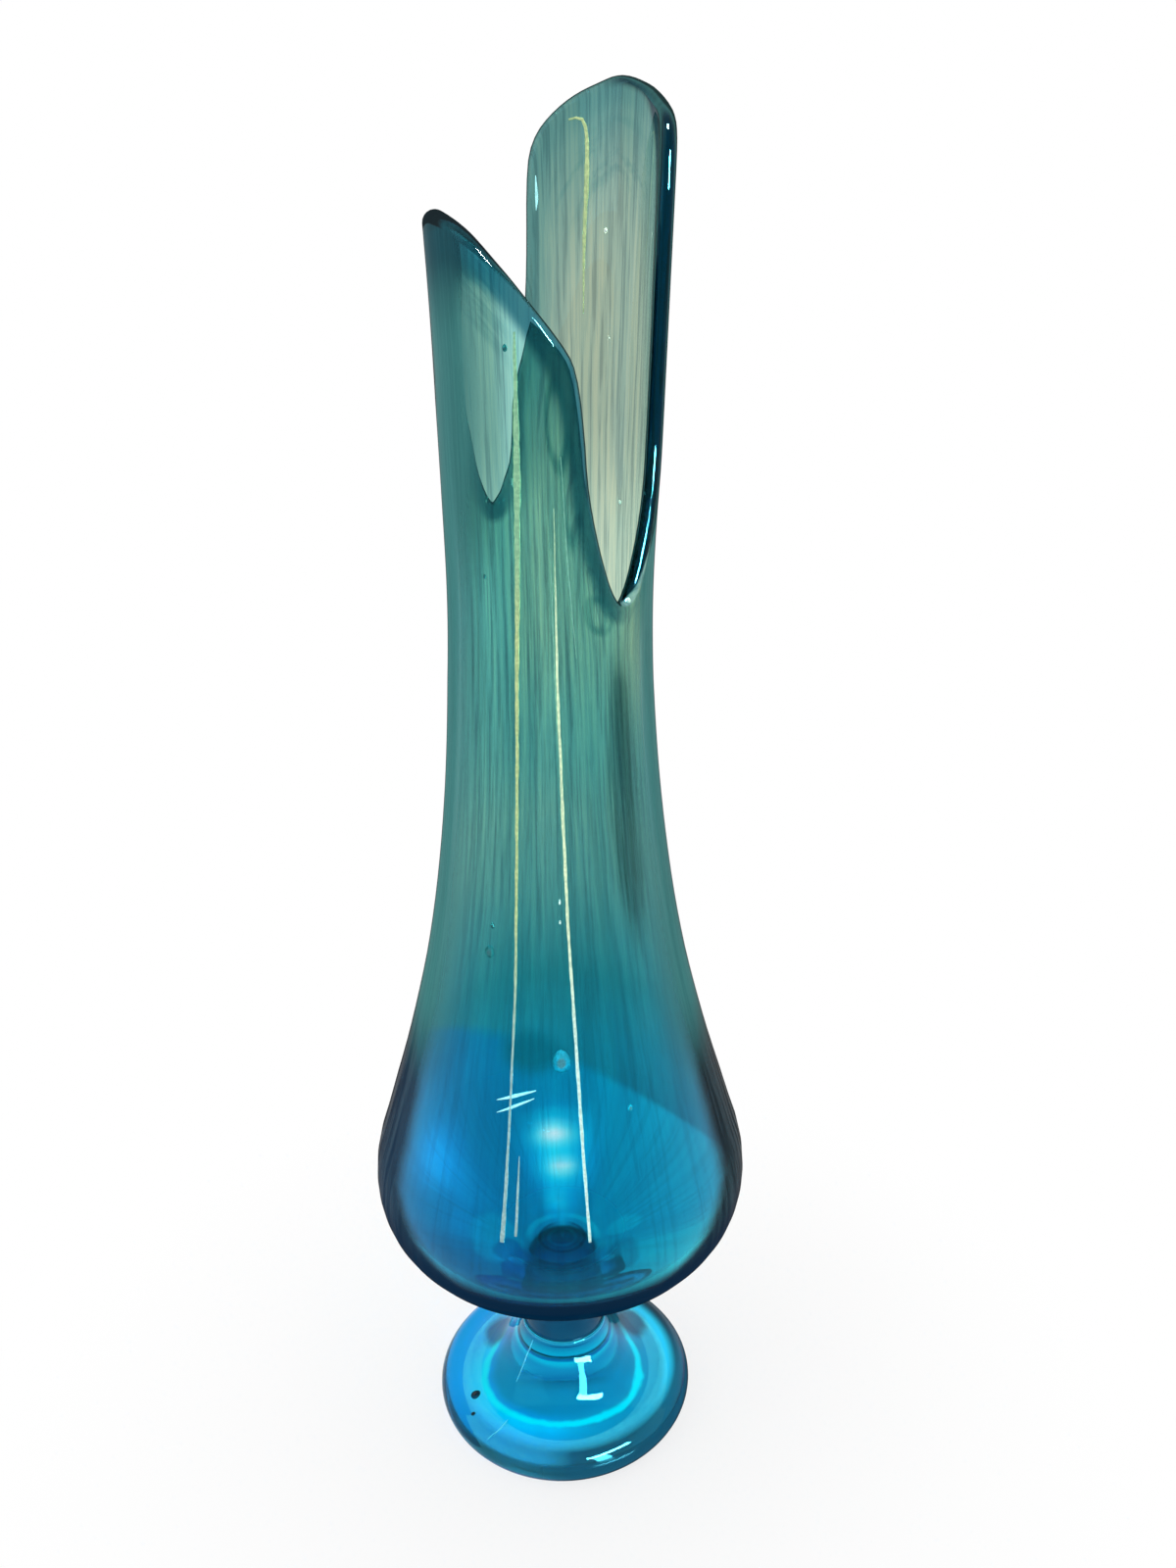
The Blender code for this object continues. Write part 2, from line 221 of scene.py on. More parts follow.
def smoothCurve(points, steps):
    pts = np.array(points, dtype=float)
    padded = np.vstack([2 * pts[0] - pts[1], pts, 2 * pts[-1] - pts[-2]])
    knots = np.concatenate([[0.0], np.cumsum(np.linalg.norm(np.diff(padded, axis=0), axis=1))])
    curve = []
    for i in range(1, len(padded) - 2):
        span = knots[i + 1] - knots[i]
        slopeIn = (padded[i + 1] - padded[i - 1]) / (knots[i + 1] - knots[i - 1])
        slopeOut = (padded[i + 2] - padded[i]) / (knots[i + 2] - knots[i])
        for t in np.arange(steps) / steps:
            curve.append((2 * t**3 - 3 * t**2 + 1) * padded[i] + (t**3 - 2 * t**2 + t) * span * slopeIn
                         + (3 * t**2 - 2 * t**3) * padded[i + 1] + (t**3 - t**2) * span * slopeOut)
    curve.append(pts[-1])
    return np.array(curve)


def runLength(curve):
    return np.concatenate([[0.0], np.cumsum(np.linalg.norm(np.diff(curve, axis=0), axis=1))])


def bodyOutline():  # outside of the body as (radius, height)
    points = []
    for shares, narrow, wide, start, rise in (
            ("underside", "stemEndRadius", "bulbRadius", "seat", "undersideRise"),
            ("shoulder", "neckRadius", "bulbRadius", "widest", "shoulderRise"),
            ("lips", "neckRadius", "tallLipRadius", "frontNotch", "tallLipRise")):
        for up, out in body[shares]:
            points.append((body[narrow] + out * (body[wide] - body[narrow]), body[start] + up * body[rise]))
    outline = smoothCurve(points, body["curveSteps"])
    run = runLength(outline)
    even = np.linspace(0.0, run[-1], body["outlineSteps"] + 1)
    outline = np.stack([np.interp(even, run, outline[:, i]) for i in (0, 1)], axis=1)
    for _ in range(body["outlineEasing"]):  # eases the bends, so that lamps shine in it without a kink
        outline[1:-1] += (outline[:-2] + outline[2:] - 2 * outline[1:-1]) / 4.0
    return outline


def outlineNormals(outline):
    along = np.gradient(outline, axis=0)
    along /= np.linalg.norm(along, axis=1)[:, None]
    normals = np.stack([along[:, 1], -along[:, 0]], axis=1)
    normals[0] = (0.0, -1.0)
    return normals


def wallThickness(outline):
    run = runLength(outline)
    under = np.clip(run / np.interp(body["widest"], outline[:, 1], run), 0.0, 1.0)
    over = np.clip((outline[:, 1] - body["widest"]) / body["shoulderRise"], 0.0, 1.0)
    thinning = (1.0 - np.cos(np.pi * under)) / 2.0
    return (body["floorWall"] + (body["bulbWall"] - body["floorWall"]) * thinning
            + (body["neckWall"] - body["bulbWall"]) * over)


def rimEdge():  # visible edge of the rim, laid flat as (way round, height)
    points = []
    for shares, notch, lip in (
            ("frontToTall", "frontNotch", "tallLip"), ("tallToBack", "backNotch", "tallLip"),
            ("backToShort", "backNotch", "shortLip"), ("shortToFront", "frontNotch", "shortLip")):
        for angle, climb in body[shares]:
            height = body[notch] + climb * (body[lip] - body[notch])
            points.append((np.radians(angle) * body["neckRadius"], height))
    points = np.array(points)
    padded = np.vstack([points[-1] - onceRound, points, points[0] + onceRound, points[1] + onceRound])
    steps = body["curveSteps"]
    return smoothCurve(padded, steps)[steps:-steps]


def rimColumns():  # where the columns of the mesh meet the rim, and the way out of the glass there
    edge = rimEdge()
    run = runLength(edge)
    along = np.gradient(edge, axis=0)
    heading = np.unwrap(np.arctan2(along[:, 1], along[:, 0]))
    bend = np.concatenate([[0.0], np.cumsum(np.abs(np.diff(heading)))])
    wayRound = edge[:, 0] - edge[0, 0]
    evenShare = 1.0 - body["rimLengthShare"] - body["rimBendShare"]
    spread = (evenShare * wayRound / wayRound[-1] + body["rimLengthShare"] * run / run[-1]
              + body["rimBendShare"] * bend / bend[-1])
    places = np.arange(body["columns"]) / body["columns"]
    rim = np.stack([np.interp(places, spread, edge[:, 0]), np.interp(places, spread, edge[:, 1])], axis=1)
    turn = np.interp(places, spread, heading) + np.pi / 2
    return rim, np.stack([np.cos(turn), np.sin(turn)], axis=1)


def evenOut(rings):  # spaces the rings between the first and the last so that no face folds or pinches
    for _ in range(body["smoothing"]):
        before = np.roll(rings, 1, axis=1)
        after = np.roll(rings, -1, axis=1)
        before[:, 0] -= onceRound
        after[:, -1] += onceRound
        across = ((after - before) / 2.0)[1:-1]
        along = (rings[2:] - rings[:-2]) / 2.0
        twist = (after[2:] - before[2:] - after[:-2] + before[:-2]) / 4.0
        acrossPull = np.sum(along * along, axis=2)[..., None]
        alongPull = np.sum(across * across, axis=2)[..., None]
        slant = np.sum(across * along, axis=2)[..., None]
        moved = acrossPull * (before + after)[1:-1] + alongPull * (rings[2:] + rings[:-2])
        rings[1:-1] = (moved - 2 * slant * twist) / (2 * (acrossPull + alongPull))
    return rings


def fanRings(fanStart):
    rim, outward = rimColumns()
    last = rim - outward * body["rimBead"] / 2.0
    wayRound = onceRound[0] * np.arange(body["columns"]) / body["columns"]
    wayRound += np.mean(rim[:, 0] - wayRound)
    first = np.stack([wayRound, np.full(body["columns"], fanStart)], axis=1)
    climbs = np.arange(body["fanRows"] + 1)[:, None, None] / body["fanRows"]
    return evenOut(first + climbs * (last - first)), outward


def neckShift(height):
    start = body["widest"] + body["bendStartShare"] * body["shoulderRise"]
    share = np.clip((height - start) / (body["tallLip"] - start), 0.0, None)
    turn = np.radians(body["neckBendDeg"])
    return body["neckBend"] * share[:, None] * np.array([np.cos(turn), np.sin(turn), 0.0])


def spacePoint(radius, angle, height):
    return np.stack([radius * np.cos(angle), radius * np.sin(angle), height + 0 * angle], axis=-1)


def bodyRings():
    outline = bodyOutline()
    normals = outlineNormals(outline)
    walls = wallThickness(outline)
    run = runLength(outline)
    heights = outline[:, 1]

    def atHeight(values, height):
        return np.interp(height, heights, values)

    def skinPoints(angle, height, depth):
        radius = atHeight(outline[:, 0], height) - depth * atHeight(normals[:, 0], height)
        points = spacePoint(radius, angle, height - depth * atHeight(normals[:, 1], height))
        return points + neckShift(height)

    fanStart = body["widest"] + body["fanStartShare"] * body["shoulderRise"]
    runToWidest = atHeight(run, body["widest"])
    lowRuns = np.concatenate([
        np.linspace(0.0, runToWidest, body["undersideRows"] + 1),
        np.linspace(runToWidest, atHeight(run, fanStart), body["shoulderRows"] + 1)[1:]])
    fan, outward = fanRings(fanStart)
    angles = fan[0][:, 0] / body["neckRadius"]
    outside = []
    inside = []
    toRim = []
    for height in np.interp(lowRuns, run, heights):
        level = np.full(body["columns"], height)
        outside.append(skinPoints(angles, level, 0.0))
        inside.append(skinPoints(angles, level, atHeight(walls, level)))
        toRim.append(np.full(body["columns"], body["farFromRim"]))
    edge = fan[-1]
    for ring in fan[1:]:
        angle, height = ring[:, 0] / body["neckRadius"], ring[:, 1]
        turns = [edge + n * onceRound for n in (-1, 0, 1)]
        gaps = np.linalg.norm(ring[:, None, :] - np.concatenate(turns)[None, :, :], axis=2).min(axis=1)
        wall = atHeight(walls, height)
        swell = (body["rimBead"] - wall) * np.exp(-gaps / body["beadFade"]) / 2.0
        outside.append(skinPoints(angle, height, -swell))
        inside.append(skinPoints(angle, height, wall + swell))
        toRim.append(np.minimum(gaps + body["rimBead"] / 2.0, body["farFromRim"]))

    # the bead is a half round between the last outside ring and the last inside ring
    centre = (outside[-1] + inside[-1]) / 2.0
    across = (outside[-1] - inside[-1]) / 2.0
    edgeAngles = edge[:, 0] / body["neckRadius"]
    around = np.stack([-np.sin(edgeAngles), np.cos(edgeAngles), 0 * edgeAngles], axis=-1)
    onward = around * outward[:, :1] + np.array([0.0, 0.0, 1.0]) * outward[:, 1:]
    bead = []
    beadToRim = []
    beadSkin = []
    for step in range(1, body["beadSteps"]):
        turn = np.pi * step / body["beadSteps"]
        bead.append(centre + across * np.cos(turn) + onward * body["rimBead"] / 2.0 * np.sin(turn))
        beadToRim.append(np.full(body["columns"], body["rimBead"] / 2.0 * (1.0 - np.sin(turn))))
        beadSkin.append(1.0 - step / body["beadSteps"])
    marks = {
        "toRim": np.concatenate([np.array(toRim), np.array(beadToRim), np.array(toRim[::-1])]).ravel(),
        "skin": np.repeat([1.0] * len(outside) + beadSkin + [0.0] * len(inside), body["columns"]),
    }
    rings = outside + bead + inside[::-1]
    for ring in rings:
        ring[:, 2] = np.minimum(ring[:, 2], bodyBox[1].z)
    return rings, marks


def ringMesh(name, rings, start, end, marks=None):  # a closed mesh from rings and a middle point at each end
    mesh = bpy.data.meshes.new(name)
    shape = bmesh.new()
    ringVerts = [[shape.verts.new(point) for point in ring] for ring in rings]
    for lower, upper in zip(ringVerts, ringVerts[1:]):
        for i in range(len(lower)):
            j = (i + 1) % len(lower)
            shape.faces.new((lower[i], lower[j], upper[j], upper[i]))
    for middle, ring, flip in ((start, ringVerts[0], True), (end, ringVerts[-1], False)):
        tip = shape.verts.new(middle)
        for i in range(len(ring)):
            j = (i + 1) % len(ring)
            shape.faces.new((ring[j], ring[i], tip) if flip else (ring[i], ring[j], tip))
    shape.verts.index_update()
    shape.to_mesh(mesh)
    shape.free()
    mesh.shade_smooth()
    for mark, values in (marks or {}).items():  # one value per point; the middle points take their ring's
        layer = mesh.attributes.new(mark, "FLOAT", "POINT")
        layer.data.foreach_set("value", np.append(values, [values[0], values[-1]]).astype(np.float32))
    return mesh


def turnOutward(mesh):
    shape = bmesh.new()
    shape.from_mesh(mesh)
    bmesh.ops.recalc_face_normals(shape, faces=shape.faces)
    shape.to_mesh(mesh)
    shape.free()
    mesh.shade_smooth()


def addPiece(mesh, material, slot, *nodes):
    piece = bpy.data.objects.new(mesh.name, mesh)
    bpy.context.scene.collection.objects.link(piece)
    mesh.materials.append(material)
    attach(piece, "root")
    if nodes:
        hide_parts(*nodes)
    return piece


# Glass looks. Each tint is what one wall lets through at its two skins, before the glass's own depth.
glass = {
    "ior": 1.42,
    "shineTint": (0.06, 0.6, 0.8),
    "depthColour": (0.1, 0.7, 0.86),
    "bodyDensity": 60.0,
    "footDensity": 30.0,
    "edgeRoughness": 0.6,
    "ripple": {"Strength": 0.12, "Distance": 0.0006},
    "fineRipple": {"Strength": 0.3, "Distance": 0.0002},
}
bodyGlass = {
    "tints": [  # up the wall: height, colour
        (0.06, (0.03, 0.47, 0.66)), (0.12, (0.035, 0.5, 0.66)), (0.16, (0.07, 0.43, 0.48)),
        (0.2, (0.25, 0.52, 0.51)), (0.235, (0.41, 0.6, 0.53)), (0.275, (0.335, 0.6, 0.545)),
        (0.47, (0.37, 0.71, 0.63))],
    "azureLeft": (0.006, 0.42, 0.62),
    "azureRight": (0.022, 0.8, 0.87),
    "azureEdge": 0.188,  # where the painted azure light ends at the front, and how it falls away to the right
    "azureFall": 0.0225,
    "azureFrom": -2.0,
    "azureFade": (0.0016, -0.0016),
    "lowShade": (0.6, 0.86, 0.9),
    "tallLip": (0.4, 0.47, 0.355),
    "tallLipLow": (0.57, 0.67, 0.51),
    "shortLip": (0.2, 0.4, 0.32),
    "shortRimShade": (0.44, 0.68, 0.78),
    "shortTipShade": (0.15, 0.62, 0.72),
    "streakTint": (1.55, 1.28, 1.12),
    "streakShade": (0.48, 0.5, 0.54),
    "arcShade": (0.45, 0.62, 0.68),
    "arcLineShade": (0.45, 0.62, 0.68, 0.9),
    "secondArc": 0.7,
    "broadShade": (0.82, 0.9, 0.92),
    "leftShade": (0.26, 0.5, 0.58, 0.9),
    "nearRim": (0.17, 0.32, 0.27),
    "rimTint": (0.05, 0.18, 0.18, 0.3),
    "rimBlue": (0.02, 0.15, 0.19, 0.9),
    "notchPale": (0.8, 0.94, 0.92, 0.9),
    "rimEdgeShade": (0.0, 0.003, 0.008),
    "capBrown": (0.012, 0.008, 0.01),
    "bandTint": (0.035, 0.03, 0.04, 0.92),
    # painted shade where a wall is seen edge-on, standing for its deep glass and the dark surroundings
    # mirrored there
    "neckSide": (0.036, 0.182, 0.175),
    "bulbLeft": (0.012, 0.03, 0.06),
    "bulbRight": (0.026, 0.036, 0.042),
    "bulbUnder": (0.001, 0.018, 0.05),
    "outline": (0.012, 0.014, 0.016, 0.85),
    "sideShade": (0.35, 0.4, 0.45, 0.8),
    "neckShade": (0.78, 0.84, 0.86),
    "shortSide": (0.045, 0.185, 0.182),
    "shortTop": (0.016, 0.07, 0.088),
    # streaks and patches: how fine they are, and how the arcs follow the rim
    "grainAcross": 21.0,
    "grainAlong": 16.0,
    "fineNoise": {"Scale": 1.0, "Detail": 4.0, "Roughness": 0.7},
    "broadNoise": {"Scale": 0.13, "Detail": 2.0},
    "cloudNoise": {"Scale": 75.0, "Detail": 1.0},
    "arcNoise": {"Scale": 1.0, "Detail": 3.0, "Roughness": 0.6},
    "arcAcross": 520.0,
    "arcAlong": 1.5,
    "arcUneven": 0.6,
    # painted pools of light in the bulb, where light gathered by the glass falls behind it: shade, way round
    # in degrees, height, half width, half height, strength
    "lightPools": [
        ("azureCloud", -134.0, 0.141, 21.0, 0.032, 0.95), ("azureCloud", 154.0, 0.089, 24.0, 0.02, 0.95),
        ("azureCloud", -89.0, 0.15, 18.0, 0.023, 0.95), ("azureCloud", -120.0, 0.127, 11.0, 0.011, 0.8),
        ("azureCloud", -104.0, 0.12, 7.0, 0.006, 0.7), ("azureCloud", -77.0, 0.118, 5.0, 0.0035, 0.6),
        ("azureCloud", 93.0, 0.079, 36.0, 0.019, 0.95),
        ("brightCloud", -90.0, 0.158, 14.0, 0.0085, 1.0), ("brightCloud", -88.0, 0.147, 13.0, 0.008, 1.0),
        ("brightCloud", -91.0, 0.138, 6.0, 0.0035, 0.9), ("brightCloud", 94.0, 0.08, 28.0, 0.011, 1.0),
        ("whiteCloud", -90.4, 0.1586, 8.0, 0.0046, 1.0), ("whiteCloud", -87.4, 0.1484, 8.0, 0.003, 1.0),
        ("whiteCloud", 94.0, 0.0809, 18.0, 0.0034, 1.0), ("whiteCloud", 90.3, 0.0737, 14.0, 0.0034, 1.0),
        ("whiteCloud", 95.0, 0.0868, 20.0, 0.0044, 1.0)],
    "azureCloud": (0.004, 0.66, 1.0),
    "brightCloud": (0.18, 0.99, 1.0),
    "whiteCloud": (1.0, 1.0, 1.0),
    "wedge": (-99.0, 0.1838, 17.0, 0.0095),
    "wedgeFill": 2.0,
    "wedgeShade": (0.035, 0.33, 0.36),
    # darker marks on the neck: way round, height, half width, half height
    "smudge": (-47.0, 0.262, 12.0, 0.06),
    "smudgeFill": 3.2,
    "smudgeTint": (0.11, 0.19, 0.19),
    "smudgeStrength": (0.7, 0.3),
    "dripLine": (-134.0, 0.305, 2.0, 0.045),
    "dripTint": (0.11, 0.19, 0.19, 0.8),
    "swirls": [(-60.5, 0.3203, 7.0, 0.0056), (-82.5, 0.374, 5.5, 0.012), (-76.0, 0.356, 4.5, 0.015)],
    "swirlLean": 0.2,
    "swirlLine": (0.9, 0.02, 0.36),
    "swirlTint": (0.4, 0.62, 0.66),
    # painted light and shade on the bulb's floor, from what shows through it: shade, right, back, half width,
    # half depth, strength
    "floorMarks": [
        ("floorGlow", -0.025, -0.009, 0.011, 0.017, 0.95), ("floorGlow", 0.0235, 0.001, 0.008, 0.005, 0.5),
        ("floorBlotch", -0.02, -0.013, 0.0066, 0.0105, 0.85),
        ("floorMurk", 0.0225, -0.019, 0.0075, 0.014, 0.8), ("floorMurk", 0.0, -0.011, 0.0142, 0.0098, 0.75),
        ("floorShine", -0.0167, -0.0195, 0.0036, 0.003, 0.85),
        ("floorShine", 0.0172, -0.0181, 0.0032, 0.0026, 0.75),
        ("floorShine", -0.0268, -0.005, 0.0036, 0.0085, 0.65)],
    "markWobble": 0.5,
    "markFade": (1.06, 0.72),
    "floorShine": (0.25, 1.0, 1.0),
    "floorGlow": (0.01, 0.95, 1.0),
    "floorBlotch": (0.001, 0.11, 0.3),
    "floorMurk": (0.004, 0.17, 0.3),
    "floorBlur": 0.35,
    "floorDark": (0.004, 0.2, 0.34, 0.7),
    "floorLine": (0.001, 0.03, 0.08, 0.9),
    "floorPale": (0.02, 0.85, 1.0, 0.6),
    # bands along the rim: how wide they are, how that changes, and how their edges fade
    "bandWide": 0.003,
    "bandGrowth": 0.006,
    "bandFade": (0.0012, -0.0015),
    "navyWide": 0.0058,
    "navyThinning": 0.0028,
    "navyFade": (0.0002, -0.0013),
    # how strongly the painted shade darkens the wall where it turns away, and how much sooner it does so at
    # the rim
    "sideBandLater": 0.36,
    "sideBandFade": (0.47, 0.6),
    "bulbUneven": 0.2,
    "bulbStrength": 0.78,
    "underStrength": 0.97,
    "neckStrength": 0.9,
    "shortStrength": 0.86,
    "outlineSooner": (0.1, 0.36),
    "outlineFade": (0.86, 0.95),
    "streakStrength": (0.62, 0.38),
}
# where each look of the body starts and ends, from none to full, by what it is measured along
bodySpans = {
    "angle": {
        "front": (-3.0, -2.6, -0.45, -0.15), "tall": (-0.95, -0.6, 1.85, 2.15),
        "notShort": (-2.05, -1.75, 2.15, 2.5), "notShortSide": (-2.62, -2.45, 2.0, 2.4),
        "notLeft": (-2.85, -2.4, 2.4, 2.85), "notchSide": (2.62, 2.7, 2.98, 3.1),
        "navySide": (-0.34, -0.22, 0.8, 1.1), "navyThinning": (0.1, 0.6)},
    "height": {
        "lipHeight": (0.318, 0.372), "greyHeight": (0.255, 0.312), "tallHeight": (0.33, 0.38),
        "leftHeight": (0.24, 0.36), "tallArcHeight": (0.425, 0.445), "shortArcHeight": (0.34, 0.365),
        "bandGrowth": (0.396, 0.42), "notchHeight": (0.352, 0.372, 0.408, 0.418),
        "navyHeight": (0.322, 0.334), "streakHeight": (0.14, 0.3), "neckHeight": (0.155, 0.192),
        "under": (0.122, 0.096), "darkUnder": (0.1105, 0.0995), "low": (0.128, 0.09),
        "lowInside": (0.092, 0.086), "floor": (0.08, 0.076)},
    "underTip": {"shortTip": (-0.024, -0.012), "cap": (-0.0066, -0.0054), "shortTop": (-0.036, -0.01)},
    "toRim": {
        "tallArcs": (0.019, 0.006), "shortArcs": (0.017, 0.006), "nearRim": (0.018, 0.003),
        "bead": (0.0056, 0.003), "notchWide": (0.0085, 0.006), "blueRim": (0.0075, 0.0045),
        "capRim": (0.006, 0.0042), "rimOutline": (0.004, 0.0026), "firstArc": (0.0088, 0.0002, 0.0012),
        "secondArc": (0.0138, 0.0002, 0.0014)},
    "middle": {
        "stemShadow": (0.0096, 0.0086), "stemLine": (0.0088, 0.0003, 0.0012), "blurred": (0.034, 0.02),
        "stemPale": (0.0052, 0.0003, 0.0012), "paleRing": (0.0134, 0.0004, 0.0022)},
    "across": {"azure": (-0.03, 0.04), "bulbSides": (-0.01, 0.01)},
    "back": {"behindStem": (-0.004, 0.006)},
    "skin": {"outerSkin": (0.05, 0.1)},
    "facing": {"bulbTurn": (0.46, 0.62), "underTurn": (0.04, 0.34), "neckTurn": (0.28, 0.66),
               "shortTurn": (0.12, 0.4)},
    "arcs": {"arcGrain": (0.47, 0.55), "arcLineGrain": (0.3, 0.55)},
    "fine": {"smudgeGrain": (0.35, 0.6), "paleGrain": (0.5, 0.6), "darkGrain": (0.49, 0.4),
             "bulbGrain": (0.35, 0.65), "neckGrain": (0.45, 0.58)},
    "broad": {"broadGrain": (0.45, 0.65), "sideGrain": (0.42, 0.56)},
}
footGlass = {
    "top": (0.03, 0.9, 1.0),
    "heart": (0.0005, 0.115, 0.29),
    "nearStem": (0.008, 0.22, 0.48),
    "topEdge": (0.002, 0.022, 0.042),
    "glow": (0.02, 0.62, 1.0, 0.9),
    "nearRing": (0.0, 0.55, 1.0, 0.9),
    "ring": (0.0, 0.85, 1.0),
    "left": (0.0, 0.19, 0.78),
    "right": (0.001, 0.16, 0.36),
    "edge": (0.001, 0.012, 0.03),
    "knop": (0.3, 0.95, 1.0),
    "core": (0.0015, 0.17, 0.38),
    "edgeShade": (0.012, 0.08, 0.12),
    "lowEdge": (0.01, 0.1, 0.18),
    "frontShade": 0.62,
    "edgeStrength": (0.92, 0.08),
    "topEdgeStrength": (0.94, 0.04),
    "turnStrength": (0.86, 0.04),
    "lowEdgeStrength": 0.92,
    "smallest": 0.001,
    "ringAcross": -0.0011,
    "ringBack": -0.0024,
    "ringDepthShare": 0.76,
    "ringWobble": 0.004,
    "noise": {"Scale": 60.0, "Detail": 3.0, "Distortion": 1.0},
    "ovals": [(-0.027, 0.01), (0.0276, 0.014)],
    "ovalWide": 0.0072,
    "ovalDeep": 0.0108,
    "ovalWobble": 0.8,
    "ovalFade": (1.1, 0.3),
    "ovalReflectionShade": (0.001, 0.03, 0.075, 0.95),
}
# the same for the foot: side is -1 at the left and 1 at the right, and facing the turn away from the eye
footSpans = {
    "fromRing": {
        "heart": (0.0287, 0.0217), "insideRing": (0.0277, 0.0287), "nearRing": (0.0287, 0.001, 0.012),
        "ring": (0.0287, 0.0005, 0.0026)},
    "middle": {
        "glow": (0.0425, 0.0006, 0.0056), "edge": (0.045, 0.048), "core": (0.018, 0.002),
        "topEdge": (0.0405, 0.045), "nearStem": (0.027, 0.02), "collar": (0.0184, 0.0004, 0.0018),
        "knop": (0.0168, 0.016), "rim": (0.044, 0.0455)},
    "height": {"top": (0.005, 0.006), "lowEdge": (0.0108, 0.01), "edgeShade": (0.0, 0.02)},
    "side": {
        "leftToRight": (-0.7, 0.5), "nearRingSide": (0.6, -0.7), "glowSide": (0.1, 0.9),
        "edgeSide": (-0.8, 0.4), "shadeSide": (-0.3, 0.6)},
    "toFront": {"shadeFront": (0.1, 1.0)},
    "facing": {"turned": (0.5, 0.85)},
}


def sharesOf(spans, **wires):
    return {name: wire.share(*span) for key, wire in wires.items() for name, span in spans[key].items()}


def turning(place):  # how far a skin is turned away from the eye, and 1 where its outside is seen
    facing = place.node("LayerWeight", {}, {"Blend": 0.5}, "Facing")
    return facing, 1 - place.node("NewGeometry", {}, {}, "Backfacing")


def glassShader(place, tint, bumpHeight, edge, edgeColour, density, roughness=0.0):
    ripple = place.node("Bump", {}, {"Height": bumpHeight, **glass["ripple"]})
    clear = place.node("BsdfPrincipled", {}, {
        "Base Color": tint, "Roughness": roughness, "IOR": glass["ior"], "Transmission Weight": 1.0,
        "Specular Tint": glass["shineTint"], "Normal": ripple})
    # painted shade: seen edge-on the wall is deep glass and mirrors dark surroundings, so its outline is
    # painted dark there with a matte shader
    dark = place.node("BsdfPrincipled", {}, {
        "Base Color": edgeColour, "Roughness": glass["edgeRoughness"], "Specular IOR Level": 0.0})
    mixed = place.node("MixShader", {}, {0: edge, 1: clear, 2: dark})
    depth = place.node("VolumeAbsorption", {}, {"Color": glass["depthColour"], "Density": density})
    place.node("OutputMaterial", {}, {"Surface": mixed, "Volume": depth})


def ovalPlace(angle, height, degrees, level, wide, tall):  # sideways and upward in an oval, 1 at its edge
    return (angle - float(np.radians(degrees))) / float(np.radians(wide)), (height - level) / tall


def spot(*where):  # 1 in the middle of an oval on the wall, 0 outside it
    return distance(*ovalPlace(*where)).share(1.0, 0.0)


